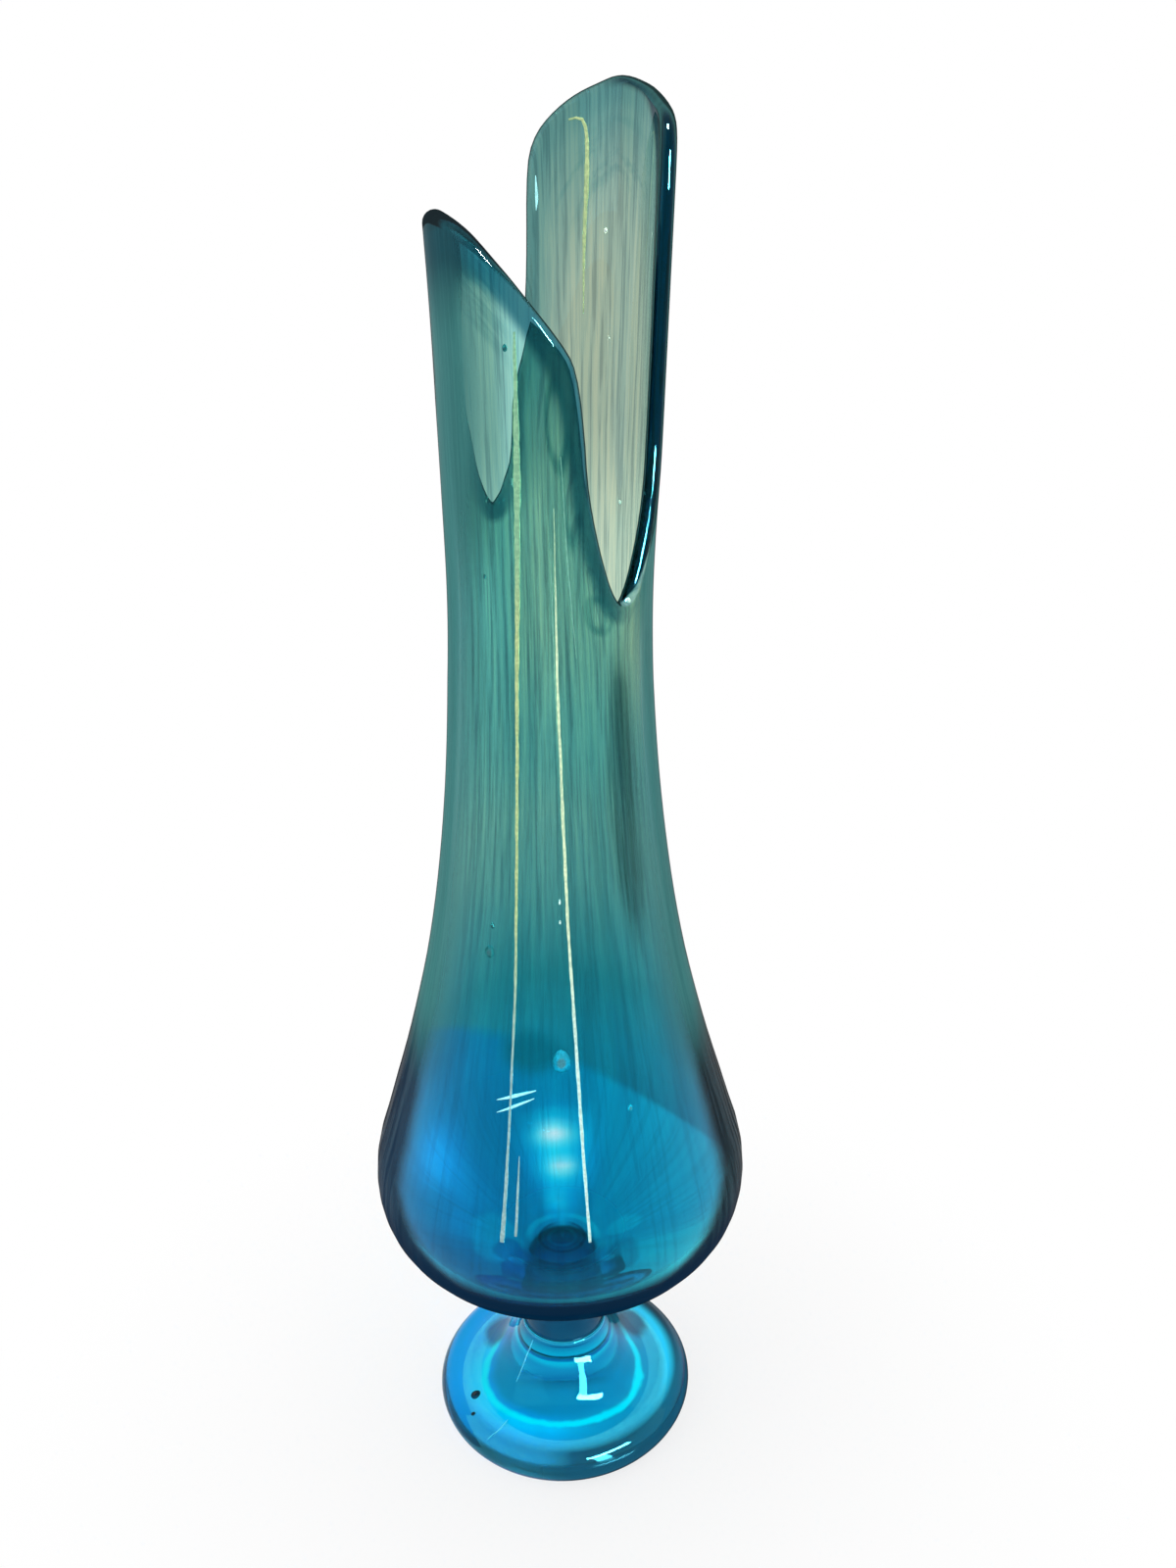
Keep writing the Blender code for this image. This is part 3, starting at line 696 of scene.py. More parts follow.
def bodyMaterial():
    material, place = newMaterial("body_glass")
    look = bodyGlass
    across, back, height = place.axes()
    angle = back.maths("ARCTAN2", across)  # -pi to pi, front at -pi/2
    middle = distance(across, back)
    toRim = place.node("Attribute", {"attribute_name": "toRim"}, {}, "Fac")
    skin = place.node("Attribute", {"attribute_name": "skin"}, {}, "Fac")
    facing, front = turning(place)

    # drawn streaks run up the wall, fine across it and long along it, and bend round under the rim
    wayRound = place.node("CombineXYZ", {}, {"X": across, "Y": back}).vectors("NORMALIZE")
    rise = place.node("CombineXYZ", {}, {"Z": height * look["grainAlong"]})
    grain = wayRound.vectors("SCALE", {"Scale": look["grainAcross"]}).vectors("ADD", {1: rise})
    fine = grain.noise(look["fineNoise"])
    broad = grain.noise(look["broadNoise"])
    cloudy = place.noise(look["cloudNoise"])
    arcs = place.node("CombineXYZ", {}, {
        "X": toRim * look["arcAcross"], "Y": angle * look["arcAlong"], "Z": fine * look["arcUneven"]})
    arcs = arcs.noise(look["arcNoise"])
    on = sharesOf(bodySpans, angle=angle, height=height, toRim=toRim, middle=middle, across=across, back=back,
                  skin=skin, facing=facing, arcs=arcs, fine=fine, broad=broad)
    for name, (start, end) in bodySpans["underTip"].items():  # heights from the short lip's tip
        on[name] = height.share(body["shortLip"] + start, body["shortLip"] + end)

    stops = [(level / body["tallLip"], shade) for level, shade in look["tints"]]
    coat = Coat(look, place.node("ValToRGB", {"stops": stops}, {"Fac": height / body["tallLip"]}))
    # painted light: the bulb's lower front turns azure where a bright surface behind shows through
    sideways = angle - look["azureFrom"]
    azureLightEdge = look["azureEdge"] - sideways * sideways * look["azureFall"]
    azure = on["azure"].colours(look["azureLeft"], look["azureRight"])
    coat.tint = (on["front"] * (height - azureLightEdge).share(*look["azureFade"])).colours(coat.tint, azure)
    coat.deepen("lowShade", on["low"])

    # lips: one wall seen alone is greyer; the front strip between them keeps the neck's colour
    isTall, isShort = on["tall"], 1 - on["notShort"]
    isShortLip = isShort * on["lipHeight"]
    coat.lay("tallLipLow", on["greyHeight"] * isTall)
    coat.lay("tallLip", on["tallHeight"] * isTall)
    coat.lay("shortLip", isShortLip)
    # painted shade: the wall darkens down the left of the short lip and neck, where it turns away
    coat.deepen("leftShade", (1 - on["notLeft"]) * on["leftHeight"])
    arcs = on["tallArcs"] * on["tallArcHeight"] * isTall + on["shortArcs"] * on["shortArcHeight"] * isShort
    coat.deepen("arcShade", arcs * on["arcGrain"])
    bandWide = on["bandGrowth"] * look["bandGrowth"] + look["bandWide"]
    coat.deepen("shortRimShade", isShortLip * (toRim - bandWide).share(*look["bandFade"]))
    arcLines = on["firstArc"] + on["secondArc"] * look["secondArc"]
    coat.deepen("arcLineShade", arcLines * isShortLip * on["arcLineGrain"])
    coat.deepen("shortTipShade", isShort * on["shortTip"])

    # painted light and shade on the bulb's floor: pools of light and shade, and painted shade where the solid
    # stem shows dark through it, with a paler painted ring inside its edge
    inside = 1 - skin
    lowInside = on["lowInside"] * inside
    for shade, markAcross, markBack, wide, deep, strength in look["floorMarks"]:
        gap = distance((across - markAcross) / wide, (back - markBack) / deep)
        gap = gap + (cloudy - 0.5) * look["markWobble"]
        coat.lay(shade, gap.share(*look["markFade"]) * lowInside * strength)
    floor = on["floor"] * inside
    coat.lay("floorShine", floor * on["behindStem"] * on["paleRing"])
    coat.lay("floorDark", floor * on["stemShadow"])
    coat.lay("floorLine", floor * on["stemLine"])
    coat.lay("floorPale", floor * on["stemPale"])
    # painted shade: a darker wedge on the bulb's front
    coat.lay("wedgeShade", (spot(angle, height, *look["wedge"]) * look["wedgeFill"]).clipped())
    # painted pools of light, laid over the wall's tint
    for shade, *where, strength in look["lightPools"]:
        coat.lay(shade, spot(angle, height, *where) * strength)

    # marks where the glass ran while it was swung
    smudge = (spot(angle, height, *look["smudge"]) * look["smudgeFill"]).clipped()
    coat.deepen("smudgeTint", smudge * on["smudgeGrain"].line(*look["smudgeStrength"]))
    coat.deepen("dripTint", spot(angle, height, *look["dripLine"]))
    for swirl in look["swirls"]:
        sideways, upward = ovalPlace(angle, height, *swirl)
        leaning = sideways + upward * look["swirlLean"]
        coat.deepen("swirlTint", distance(leaning, upward).share(*look["swirlLine"]))

    # rim: a rounded bead, bluer than the wall; painted shade near black right of the tall lip, where it is
    # seen edge-on; near black at the short lip's tip
    coat.lay("nearRim", on["nearRim"] * on["lipHeight"] * isTall)
    coat.lay("rimTint", on["bead"] * isTall)
    notchStrip = on["notchSide"] * on["notchWide"] * on["notchHeight"]
    coat.lay("notchPale", notchStrip)
    coat.lay("rimBlue", on["blueRim"] * (1 - isTall) * (1 - notchStrip))
    navyWide = look["navyWide"] - on["navyThinning"] * look["navyThinning"]
    coat.lay("rimEdgeShade", on["navySide"] * on["navyHeight"] * (toRim - navyWide).share(*look["navyFade"]))
    coat.lay("capBrown", on["cap"] * on["capRim"] * (1 - on["notShortSide"]))
    strong = on["streakHeight"].line(*look["streakStrength"]) * skin
    coat.deepen("streakTint", on["paleGrain"] * strong)
    coat.deepen("streakShade", on["darkGrain"] * strong)
    coat.deepen("broadShade", on["broadGrain"])

    # painted shade: the wall darkens where it turns away at the sides of the bulb
    isNeck, isUnder = on["neckHeight"], on["under"]
    sideBand = (facing - isNeck * look["sideBandLater"]).share(*look["sideBandFade"])
    coat.lay("bandTint", sideBand * front * skin)
    uneven = on["bulbGrain"] * (1 - isUnder) * look["bulbUneven"] + isUnder * look["bulbUneven"]
    onBulb = on["bulbTurn"] * (uneven + look["bulbStrength"])
    onBulb = onBulb.maths("MAXIMUM", on["underTurn"] * on["darkUnder"] * look["underStrength"])
    onNeck = on["neckTurn"] * look["neckStrength"]
    onNeck = onNeck + (on["shortTurn"] * look["shortStrength"] - onNeck) * isShortLip
    outline = (facing + on["rimOutline"] * isShort.line(*look["outlineSooner"])).share(*look["outlineFade"])
    edge = (onBulb + (onNeck - onBulb) * isNeck).maths("MAXIMUM", outline) * front * on["outerSkin"]
    bulbSide = Coat(look, on["bulbSides"].colours(look["bulbLeft"], look["bulbRight"]))
    bulbSide.deepen("sideShade", on["sideGrain"])
    bulbSide.lay("bulbUnder", isUnder)
    neckSide = Coat(look, isShortLip.colours(look["neckSide"], look["shortSide"]))
    neckSide.lay("shortTop", isShort * on["shortTop"])
    neckSide.deepen("neckShade", on["neckGrain"])
    edgeColour = Coat(look, isNeck.colours(bulbSide.tint, neckSide.tint))
    edgeColour.lay("outline", outline)
    blurred = lowInside * on["blurred"] * look["floorBlur"]
    glassShader(place, coat.tint, broad, edge, edgeColour.tint, glass["bodyDensity"], blurred)
    return material


def footMaterial():
    material, place = newMaterial("foot_glass")
    look = footGlass
    across, back, height = place.axes()
    facing, front = turning(place)
    middle = distance(across, back)
    outward = middle.maths("MAXIMUM", look["smallest"])
    swirl = place.noise(look["noise"])
    fromRing = distance(across - look["ringAcross"], (back - look["ringBack"]) / look["ringDepthShare"])
    fromRing = fromRing + (swirl - 0.5) * look["ringWobble"]
    on = sharesOf(footSpans, fromRing=fromRing, middle=middle, height=height, side=across / outward,
                  toFront=(0 - back) / outward, facing=facing)

    # painted light and shade under the foot: brighter to the left and darker to the right, with rings and a
    # glow of painted light over the hollow underneath and near the edge, and painted shade at the edge
    coat = Coat(look, on["leftToRight"].colours(look["left"], look["right"]))
    coat.lay("heart", on["heart"])
    coat.lay("nearRing", on["insideRing"] * on["nearRing"] * on["nearRingSide"])
    coat.lay("ring", on["ring"])
    coat.lay("glow", on["glow"] * on["glowSide"])
    coat.lay("edge", on["edge"] * on["edgeSide"].line(*look["edgeStrength"]))
    coat.lay("core", on["core"])

    # the top's own tint, with two painted dark ovals for dark things mirrored in it, painted shade at its
    # edge on the shaded side and near the stem, and a painted ring of light round the stem
    shaded = (on["shadeSide"] + on["shadeFront"] * look["frontShade"]).clipped()
    coat.lay("top", on["top"])
    coat.lay("topEdge", on["top"] * on["topEdge"] * shaded.line(*look["topEdgeStrength"]))
    for ovalAcross, ovalBack in look["ovals"]:
        sideways, along = (across - ovalAcross) / look["ovalWide"], (back - ovalBack) / look["ovalDeep"]
        gap = sideways * sideways + along * along + (swirl - 0.5) * look["ovalWobble"]
        coat.lay("ovalReflectionShade", on["top"] * gap.share(*look["ovalFade"]))
    coat.lay("nearStem", on["top"] * on["nearStem"])
    coat.lay("ring", on["top"] * on["collar"])
    coat.lay("knop", on["top"] * on["knop"])

    # painted shade: the lower edge on the shaded side turns dark and matte
    lowEdge = on["lowEdge"] * on["rim"] * shaded * front
    edge = on["turned"] * front * shaded.line(*look["turnStrength"])
    edge = edge.maths("MAXIMUM", lowEdge * look["lowEdgeStrength"])
    edgeColour = Coat(look, on["edgeShade"].colours(look["edge"], look["edgeShade"]))
    edgeColour.lay("lowEdge", lowEdge * (1 - on["turned"]))
    glassShader(place, coat.tint, swirl, edge, edgeColour.tint, glass["footDensity"])
    return material


def stemMaterial():
    material, place = newMaterial("stem_glass")
    across, back, height = place.axes()
    facing, front = turning(place)
    swirl = place.noise(stem["noise"])
    tint = swirl.share(*stem["patches"]).colours(stem["side"], stem["sidePale"])
    tint = distance(across, back).share(*stem["endsFrom"]).colours(tint, stem["ends"])
    edge = facing.share(*stem["turn"]) * front * stem["turnStrength"]
    edgeColour = height.share(*stem["footToBulb"]).colours(footGlass["edgeShade"], bodyGlass["bulbUnder"])
    glassShader(place, tint, swirl, edge, edgeColour, glass["footDensity"])
    return material


def plainMaterial(name, tintOf, look):  # a line's or a seed's paler glass, with an uneven tint
    material, place = newMaterial(name)
    grain = place.noise(look["noise"])
    tint = tintOf(place, grain)
    ripple = place.node("Bump", {}, {"Height": grain, **glass["fineRipple"]})
    inputs = {"Base Color": tint, "Roughness": look["roughness"], "IOR": glass["ior"], "Normal": ripple}
    # painted glow: the lines shine a little in their own tint, so they show pale from behind too
    if "paintedGlow" in look:
        inputs.update({"Emission Color": tint, "Emission Strength": look["paintedGlow"]})
    place.node("OutputMaterial", {}, {"Surface": place.node("BsdfPrincipled", {}, inputs)})
    return material


def makeBody():
    rings, marks = bodyRings()
    floor = float(rings[-1][0][2])
    mesh = ringMesh("vase_body_glass", rings, (0.0, 0.0, body["seat"]), (0.0, 0.0, floor), marks)
    return addPiece(mesh, bodyMaterial(), "body_glass", "vase_body")


def treeOf(piece):  # for finding points on a piece's skin
    return BVHTree.FromPolygons([vertex.co for vertex in piece.data.vertices],
                                [polygon.vertices for polygon in piece.data.polygons])


def onSkin(trees, first, second, skin):  # a point of a skin, and its outward normal
    if skin == "foot":  # the foot's top, by metres to the right and to the back
        above = Vector((first, second, foot["height"]))
        point, normal, _, _ = trees["foot"].ray_cast(above, Vector((0.0, 0.0, -1.0)))
        return np.array(point), np.array(normal)
    angle = float(np.radians(first))  # a side of the wall, by degrees round it and height
    away = Vector((float(np.cos(angle)), float(np.sin(angle)), 0.0))
    axis = Vector((0.0, 0.0, second))
    if skin == "outside":
        point, normal, _, _ = trees["body"].ray_cast(axis + away * lines["farOut"], -away)
    else:
        point, normal, _, _ = trees["body"].ray_cast(axis, away)
    return np.array(point), np.array(normal)


# Drawn lines: pale cords of glass pulled up the wall, from the widest of the bulb to the rim, and thin glint
# strips that are painted highlights
lines = {
    "proud": 0.00014,
    "halfThick": 0.00028,
    "wander": 0.00003,
    "wanderTurns": (0.9, 0.37),
    "swell": 0.1,
    "swellTurn": 2.1,
    "lesserSwell": 0.08,
    "lesserSwellTurn": 0.83,
    "curveSteps": 8,
    "step": 0.0022,
    "fewestSteps": 8,
    "corners": 10,
    "farOut": 0.2,
    # name, skin, shade, half widths and places from the bottom up: degrees round the wall and height, or
    # on the foot metres to the right and to the back
    "runs": [
        ("left_drawn_line", "outside", "cream",
         (0.00085, 0.00046, 0.00042, 0.00046, 0.00052, 0.0006, 0.0008, 0.0011, 0.0003),
         [(-105.4, 0.1246), (-105.3, 0.145), (-105.7, 0.176), (-105.9, 0.207), (-106.5, 0.239),
          (-106.3, 0.282), (-105.6, 0.312), (-103.9, 0.341), (-102.4, 0.37), (-101.6, 0.3985)]),
        # painted highlights: two thin bright strips on the bulb
        ("upper_glint_line", "outside", "glint", (0.0001, 0.00055, 0.0006, 0.00015),
         [(-110.7, 0.1684), (-103.5, 0.1708), (-96.5, 0.1729)]),
        ("lower_glint_line", "outside", "glint", (0.0001, 0.00045, 0.0005, 0.00015),
         [(-110.3, 0.1645), (-103.5, 0.1676), (-97.1, 0.1704)]),
        ("left_short_line", "outside", "cream", (0.00048, 0.0005, 0.00012),
         [(-101.5, 0.1271), (-101.5, 0.1398), (-101.5, 0.152)]),
        ("right_drawn_line", "outside", "bright", (0.0005, 0.0006, 0.00048, 0.0005, 0.0004, 0.00012),
         [(-80.5, 0.1253), (-80.8, 0.146), (-81.3, 0.177), (-81.5, 0.19), (-82.7, 0.224), (-83.5, 0.255),
          (-84.7, 0.3), (-84.8, 0.341), (-84.9, 0.352)]),
        ("right_faint_line", "outside", "faint", (0.0001, 0.00024, 0.0001),
         [(-83.9, 0.2625), (-86.1, 0.3034), (-86.8, 0.3407)]),
        ("lip_faint_line", "outside", "faint", (0.00008, 0.00022, 0.0001),
         [(-74.6, 0.3084), (-78.9, 0.3406), (-81.2, 0.3661)]),
        # painted highlight: a thin bright strip on the tall lip's left bead
        ("left_lip_glint_line", "inside", "glint", (0.0001, 0.0005, 0.00045, 0.0001),
         [(94.4, 0.4352), (94.0, 0.4398), (94.3, 0.445)]),
        ("foot_seam_line", "foot", "seam", (0.00012, 0.0003, 0.00026, 0.00008),
         [(-0.0119, -0.0121), (-0.0146, -0.0137), (-0.0185, -0.0186)]),
        ("low_foot_line", "foot", "seam", (0.00008, 0.00026, 0.0002, 0.00008),
         [(-0.0212, -0.0307), (-0.0251, -0.0352), (-0.0286, -0.0376)]),
        ("tall_lip_line", "inside", "lip", (0.00012, 0.0004, 0.0007, 0.0008, 0.0003),
         [(68.3, 0.4053), (67.9, 0.4251), (66.5, 0.4443), (66.9, 0.4562), (69.0, 0.46), (73.5, 0.4606),
          (76.2, 0.4602)]),
    ],
    # low on the wall, in the middle and at the top
    "shades": {
        "cream": [(0.26, 0.42, 0.44), (0.42, 0.52, 0.24), (0.21, 0.43, 0.26)],
        "bright": [(0.56, 0.76, 0.72), (0.66, 0.78, 0.52), (0.34, 0.56, 0.36)],
        "faint": [(0.16, 0.42, 0.36), (0.16, 0.42, 0.32), (0.16, 0.42, 0.32)],
        "glint": [(0.4, 0.88, 0.95), (0.45, 0.9, 0.92), (0.45, 0.9, 0.92)],
        "lip": [(0.42, 0.52, 0.24)] * 3,
        "seam": [(0.1, 0.6, 0.8)] * 3,
    },
    "lowToMiddle": (0.17, 0.24),
    "middleToTop": (0.31, 0.345),
    "noise": {"Scale": 900.0, "Detail": 3.0},
    "patches": (0.4, 0.6),
    "patchShade": (0.72, 0.8, 0.8),
    "roughness": 0.3,
    # a painted glow, so that the lines show pale from behind too
    "paintedGlow": 0.3,
}


def lineMaterial(shade):
    low, middle, top = lines["shades"][shade]

    def tintOf(place, grain):
        height = place.axes()[2]
        tint = height.share(*lines["lowToMiddle"]).colours(low, middle)
        tint = height.share(*lines["middleToTop"]).colours(tint, top)
        return grain.share(*lines["patches"]).colours(tint, lines["patchShade"], "MULTIPLY")

    return plainMaterial(shade + "_line_glass", tintOf, lines)


def makeLines(trees):
    looks = {shade: lineMaterial(shade) for shade in lines["shades"]}
    turns = 2 * np.pi * np.arange(lines["corners"]) / lines["corners"]
    lift = lines["proud"] - lines["halfThick"] + lines["halfThick"] * np.sin(turns)
    swayTurn, lesserTurn = lines["wanderTurns"]
    for name, skin, shade, widths, stops in lines["runs"]:
        onFoot = skin == "foot"
        scale = np.array([1000.0 if onFoot else 1.0, 1000.0])  # millimetres and degrees make an even curve
        path = smoothCurve(np.array(stops) * scale, lines["curveSteps"]) / scale
        centres = np.array([onSkin(trees, first, second, skin)[0] for first, second in path])
        run = runLength(centres)
        steps = max(int(run[-1] / lines["step"]), lines["fewestSteps"])
        places = np.linspace(0.0, run[-1], steps + 1)
        centres = np.stack([np.interp(places, run, centres[:, i]) for i in range(3)], axis=1)
        along = np.gradient(centres, axis=0)
        along /= np.linalg.norm(along, axis=1)[:, None]
        rings = []
        for step, centre in enumerate(centres):
            wayRound = np.degrees(np.arctan2(centre[1], centre[0]))
            first, second = centre[:2] if onFoot else (wayRound, centre[2])
            point, normal = onSkin(trees, float(first), float(second), skin)
            side = np.cross(along[step], normal)
            side /= np.linalg.norm(side)
            width = np.interp(step / steps, np.linspace(0.0, 1.0, len(widths)), widths)
            width *= (1.0 + lines["swell"] * np.sin(step * lines["swellTurn"])
                      + lines["lesserSwell"] * np.sin(step * lines["lesserSwellTurn"]))
            point = point + side * lines["wander"] * (np.sin(step * swayTurn) + np.sin(step * lesserTurn))
            rings.append(point + side * (width * np.cos(turns))[:, None] + normal * lift[:, None])
        mesh = ringMesh(name, rings, rings[0].mean(axis=0), rings[-1].mean(axis=0))
        turnOutward(mesh)
        addPiece(mesh, looks[shade], "foot_glass" if onFoot else "body_glass")


# Seeds: small drawn bubbles at the skin, pale or dark, and bright painted highlights at the notches
seeds = {
    "rows": 8,
    "segments": 14,
    "proudShare": 0.25,
    "thickShare": 0.6,
    "topNarrowing": 0.25,
    # name, skin, place as for the lines, half width, half height, shade
    "spots": [
        ("neck_seed", "outside", -119.1, 0.2148, 0.002, 0.0021, "dark"),
        ("upper_neck_seed", "outside", -118.0, 0.2235, 0.0008, 0.001, "dark"),
        ("left_neck_seed", "outside", -124.0, 0.332, 0.0006, 0.0007, "dark"),
        ("drop_seed", "outside", -86.2, 0.233, 0.0004, 0.0009, "bright"),
        ("low_drop_seed", "outside", -86.3, 0.2265, 0.0004, 0.0007, "bright"),
        ("bulb_seed", "outside", -87.2, 0.1819, 0.0034, 0.0038, "pale"),
        ("rim_seed", "outside", -106.6, 0.3945, 0.0008, 0.001, "dark"),
        ("front_lip_seed", "inside", 40.0, 0.348, 0.0008, 0.0008, "bright"),
        ("tall_lip_seed", "inside", 55.5, 0.429, 0.0008, 0.0009, "bright"),
        ("low_lip_seed", "inside", 52.0, 0.398, 0.0006, 0.0006, "bright"),
        ("side_seed", "outside", -63.0, 0.164, 0.0011, 0.0012, "pale"),
        # painted highlights: bright glints on the rim at the notches
        ("left_notch_seed", "inside", 138.2, 0.349, 0.0005, 0.0009, "bright"),
        ("right_notch_seed", "inside", 115.4, 0.3541, 0.0006, 0.0015, "bright"),
        ("front_notch_seed", "outside", -41.3, 0.3238, 0.0008, 0.0009, "bright"),
        ("foot_seed", "foot", -0.0346, -0.0181, 0.002, 0.002, "navy"),
        ("low_foot_seed", "foot", -0.0347, -0.0267, 0.0009, 0.0009, "navy"),
    ],
    "shades": {"pale": (0.035, 0.3, 0.4), "bright": (0.85, 0.95, 0.92), "dark": (0.01, 0.13, 0.15),
               "navy": (0.001, 0.012, 0.03)},
    "noise": {"Scale": 1500.0, "Detail": 2.0},
    "patches": (0.35, 0.65),
    "patchShare": 0.6,
    "roughness": 0.12,
}


def seedMaterial(name, shade):
    def tintOf(place, grain):
        deeper = tuple(seeds["patchShare"] * part for part in shade)
        return grain.share(*seeds["patches"]).colours(shade, deeper)

    return plainMaterial(name + "_seed_glass", tintOf, seeds)


def seedMesh(name, point, normal, halfWidth, halfHeight):  # a bead drawn out upward, mostly sunk in the wall
    up = np.array([0.0, 0.0, 1.0]) - normal * normal[2]
    up /= np.linalg.norm(up)
    side = np.cross(up, normal)
    thick = halfWidth * seeds["thickShare"]
    middle = point + normal * (seeds["proudShare"] - 1.0) * thick
    turns = 2 * np.pi * np.arange(seeds["segments"]) / seeds["segments"]
    rings = []
    for row in range(1, seeds["rows"]):
        lean = np.pi * row / seeds["rows"]
        reach = np.sin(lean) * (1.0 - seeds["topNarrowing"] * (1.0 - np.cos(lean)) / 2.0)
        rings.append(middle - up * halfHeight * np.cos(lean)
                     + side * (halfWidth * reach * np.cos(turns))[:, None]
                     + normal * (thick * reach * np.sin(turns))[:, None])
    mesh = ringMesh(name, rings, middle - up * halfHeight, middle + up * halfHeight)
    turnOutward(mesh)
    return mesh


def makeSeeds(trees):
    looks = {name: seedMaterial(name, shade) for name, shade in seeds["shades"].items()}
    for name, skin, first, second, halfWidth, halfHeight, shade in seeds["spots"]:
        point, normal = onSkin(trees, first, second, skin)
        slot = "foot_glass" if skin == "foot" else "body_glass"
        addPiece(seedMesh(name, point, normal, halfWidth, halfHeight), looks[shade], slot)


def turnedMesh(name, profile, startHeight, endHeight, segments):
    angles = 2 * np.pi * np.arange(segments) / segments
    rings = [spacePoint(radius, angles, height) for radius, height in profile]
    return ringMesh(name, rings, (0.0, 0.0, startHeight), (0.0, 0.0, endHeight))


# Stem: the short solid knop between the bulb and the foot
stem = {
    "endRadius": 0.0162, "waistRadius": 0.0146, "steps": 16, "segments": 128,
    "side": (0.003, 0.05, 0.12), "sidePale": (0.008, 0.1, 0.19), "ends": (0.2, 0.85, 1.0),
    "noise": {"Scale": 90.0, "Detail": 3.0},
    # where each look starts and ends: shares of the noise and of the turn from the eye, radius and height
    "patches": (0.35, 0.65), "turn": (0.6, 0.9), "endsFrom": (0.014, 0.013), "footToBulb": (0.035, 0.06),
    "turnStrength": 0.85,
}


def makeStem():
    low, high = stemBox[0].z, stemBox[1].z
    profile = []
    for share in np.arange(stem["steps"] + 1) / stem["steps"]:
        waist = np.sin(np.pi * share) ** 2
        profile.append((stem["endRadius"] + (stem["waistRadius"] - stem["endRadius"]) * waist,
                        low + share * (high - low)))
    mesh = turnedMesh("stem_glass", profile, low, high, stem["segments"])
    return addPiece(mesh, stemMaterial(), "stem_glass", "stem")


# Foot: the pressed round foot, domed on top and hollow underneath
foot = {
    "radius": 0.0497, "height": 0.036, "edgeHeight": 0.0134, "edgeRound": 0.0088,
    "hollowRadius": 0.0315, "hollowDepth": 0.0045, "stemRadius": 0.0162,
    "hollowSteps": 12, "edgeSteps": 20, "topSteps": 6, "segments": 160,
    "edgeStartDeg": -90.0, "edgeEndDeg": 60.0,
    # from the stem's radius and the full height to the edge: shares of the way out and down
    "top": [(0.0, 0.0), (0.035, 0.13), (0.1, 0.32), (0.21, 0.53), (0.36, 0.72), (0.56, 0.87),
            (0.8, 0.975), (1.0, 1.0)],
}


def makeFoot():
    profile = []
    for share in np.arange(1, foot["hollowSteps"] + 1) / foot["hollowSteps"]:
        profile.append((share * foot["hollowRadius"], foot["hollowDepth"] * np.cos(np.pi / 2 * share)))
    half = foot["edgeHeight"] / 2.0
    rest = foot["radius"] - foot["edgeRound"]
    for turn in np.radians(np.linspace(foot["edgeStartDeg"], foot["edgeEndDeg"], foot["edgeSteps"] + 1)):
        profile.append((rest + foot["edgeRound"] * np.cos(turn), half + half * np.sin(turn)))
    edgeRadius, edgeHeight = profile[-1]
    top = []
    for out, down in foot["top"]:
        top.append((foot["stemRadius"] + out * (edgeRadius - foot["stemRadius"]),
                    foot["height"] + down * (edgeHeight - foot["height"])))
    profile += [tuple(point) for point in smoothCurve(top, foot["topSteps"])[-2::-1]]
    mesh = turnedMesh("foot_glass", profile, foot["hollowDepth"], foot["height"], foot["segments"])
    return addPiece(mesh, footMaterial(), "foot_glass", "foot")


bodyPiece = makeBody()
makeStem()
footPiece = makeFoot()
print("glass made")
trees = {"body": treeOf(bodyPiece), "foot": treeOf(footPiece)}
makeLines(trees)
makeSeeds(trees)
print("drawn lines and seeds made")

# Studio: pale floor, white surround, soft lamps
studio = {
    "floorSize": 6.0,
    "floorColour": (0.9, 0.9, 0.9),
    "shadowReach": 0.05,
    "whiteFrom": 0.24,
    "glowUnder": 0.78,
    "glowMore": 0.22,
    "surround": 0.9,
    "surroundMore": 0.1,
    # name, what it shines on, degrees from +Y towards +X and above level, distance, width, height, power
    "lamps": [
        ("foot_sill_glint", "foot", 141.5, 5.5, 1.3, 0.78, 0.2, 110.0),
        ("foot_strip_glint", "foot", 146.3, 30.0, 1.3, 0.24, 1.1, 60.0),
        ("foot_card_glint", "foot", 133.5, 55.0, 1.3, 0.64, 0.15, 105.0),
        ("lip_card_glint", "body", 180.0, 63.0, 1.3, 0.26, 0.2, 170.0),
        ("notch_card_glint", "body", 153.0, 24.0, 1.3, 0.2, 0.32, 150.0),
        ("soft_box", "all", -120.0, 40.0, 2.0, 1.4, 1.4, 7.0),
    ],
    "lampAim": {"foot": (0.0, -0.02, 0.02), "body": (0.0, 0.0, 0.38), "all": (0.0, 0.0, 0.15)},
}


def makeFloor():
    mesh = bpy.data.meshes.new("floor")
    half = studio["floorSize"] / 2.0
    mesh.from_pydata([(-half, -half, 0.0), (half, -half, 0.0), (half, half, 0.0), (-half, half, 0.0)], [],
                     [(0, 1, 2, 3)])
    floor = bpy.data.objects.new("floor", mesh)
    bpy.context.scene.collection.objects.link(floor)
    material, place = newMaterial("pale_floor")
    lit = place.node("BsdfDiffuse", {}, {"Color": studio["floorColour"]})
    away = place.vectors("LENGTH", out="Value").share(studio["shadowReach"], studio["whiteFrom"])
    whiteness = away.line(studio["glowMore"], studio["glowUnder"])
    mixed = place.node("MixShader", {}, {0: whiteness, 1: lit, 2: place.node("Emission")})
    place.node("OutputMaterial", {}, {"Surface": mixed})
    mesh.materials.append(material)


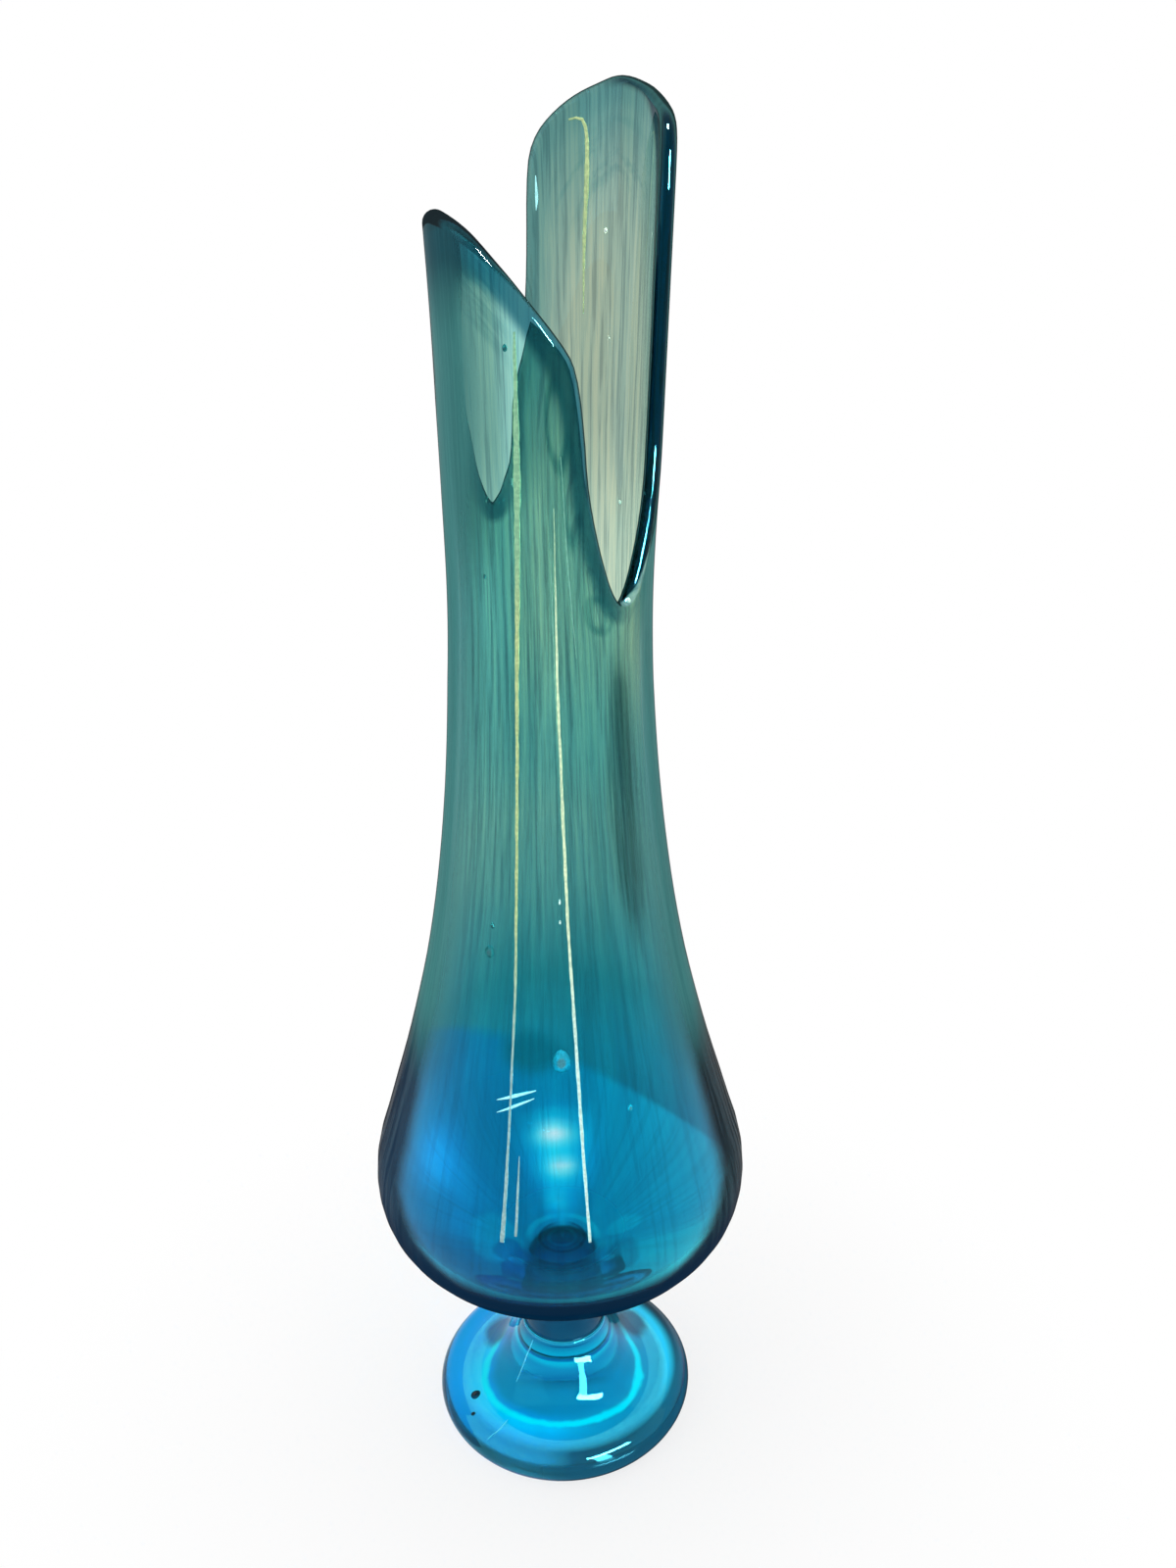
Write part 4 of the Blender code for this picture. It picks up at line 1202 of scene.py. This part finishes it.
def makeWorld():  # a little brighter to the camera and through the glass than on the floor
    world = bpy.data.worlds.new("white_surround")
    bpy.context.scene.world = world
    world.use_nodes = True
    tree = world.node_tree
    tree.nodes.clear()
    rays = tree.nodes.new("ShaderNodeLightPath").outputs
    kinds = ("Camera", "Glossy", "Transmission")
    seen, mirrored, through = (Wire(tree, rays["Is " + kind + " Ray"]) for kind in kinds)
    strength = studio["surround"] + studio["surroundMore"] * (seen + mirrored + through).clipped()
    back = seen.node("Background", {}, {"Color": (1.0, 1.0, 1.0), "Strength": strength})
    seen.node("OutputWorld", {}, {"Surface": back})


def makeLamps(lit):
    for name, target, wayRound, above, far, width, height, power in studio["lamps"]:
        aim = Vector(studio["lampAim"][target])
        data = bpy.data.lights.new(name, "AREA")
        data.shape = "RECTANGLE"
        data.size = width
        data.size_y = height
        data.energy = power
        lamp = bpy.data.objects.new(name, data)
        bpy.context.scene.collection.objects.link(lamp)
        turn, lift = np.radians(wayRound), np.radians(above)
        away = Vector((np.sin(turn) * np.cos(lift), np.cos(turn) * np.cos(lift), np.sin(lift)))
        lamp.location = aim + away * far
        lamp.rotation_euler = (-away).to_track_quat("-Z", "Y").to_euler()
        lamp.visible_camera = False
        if name.endswith("glint"):  # small cards that only show as bright marks in the glass
            lamp.visible_diffuse = False
            lamp.visible_transmission = False
            group = bpy.data.collections.new(name + "_shines_on")
            group.objects.link(lit[target])
            lamp.light_linking.receiver_collection = group


camera = {"place": (0.01174, -0.37119, 0.38956), "downDeg": 19.514, "rollDeg": -0.604, "lens": 27.045}


def makeCamera():
    data = bpy.data.cameras.new("camera")
    data.lens = camera["lens"]
    data.sensor_width = 36.0
    data.clip_start = 0.01
    eye = bpy.data.objects.new("camera", data)
    bpy.context.scene.collection.objects.link(eye)
    tilt = Matrix.Rotation(np.radians(90.0 - camera["downDeg"]), 4, "X")
    roll = Matrix.Rotation(np.radians(camera["rollDeg"]), 4, "Z")
    eye.matrix_world = Matrix.Translation(camera["place"]) @ tilt @ roll
    bpy.context.scene.camera = eye


makeFloor()
makeWorld()
makeLamps({"foot": footPiece, "body": bodyPiece})
makeCamera()
bpy.context.scene.view_settings.view_transform = "Standard"
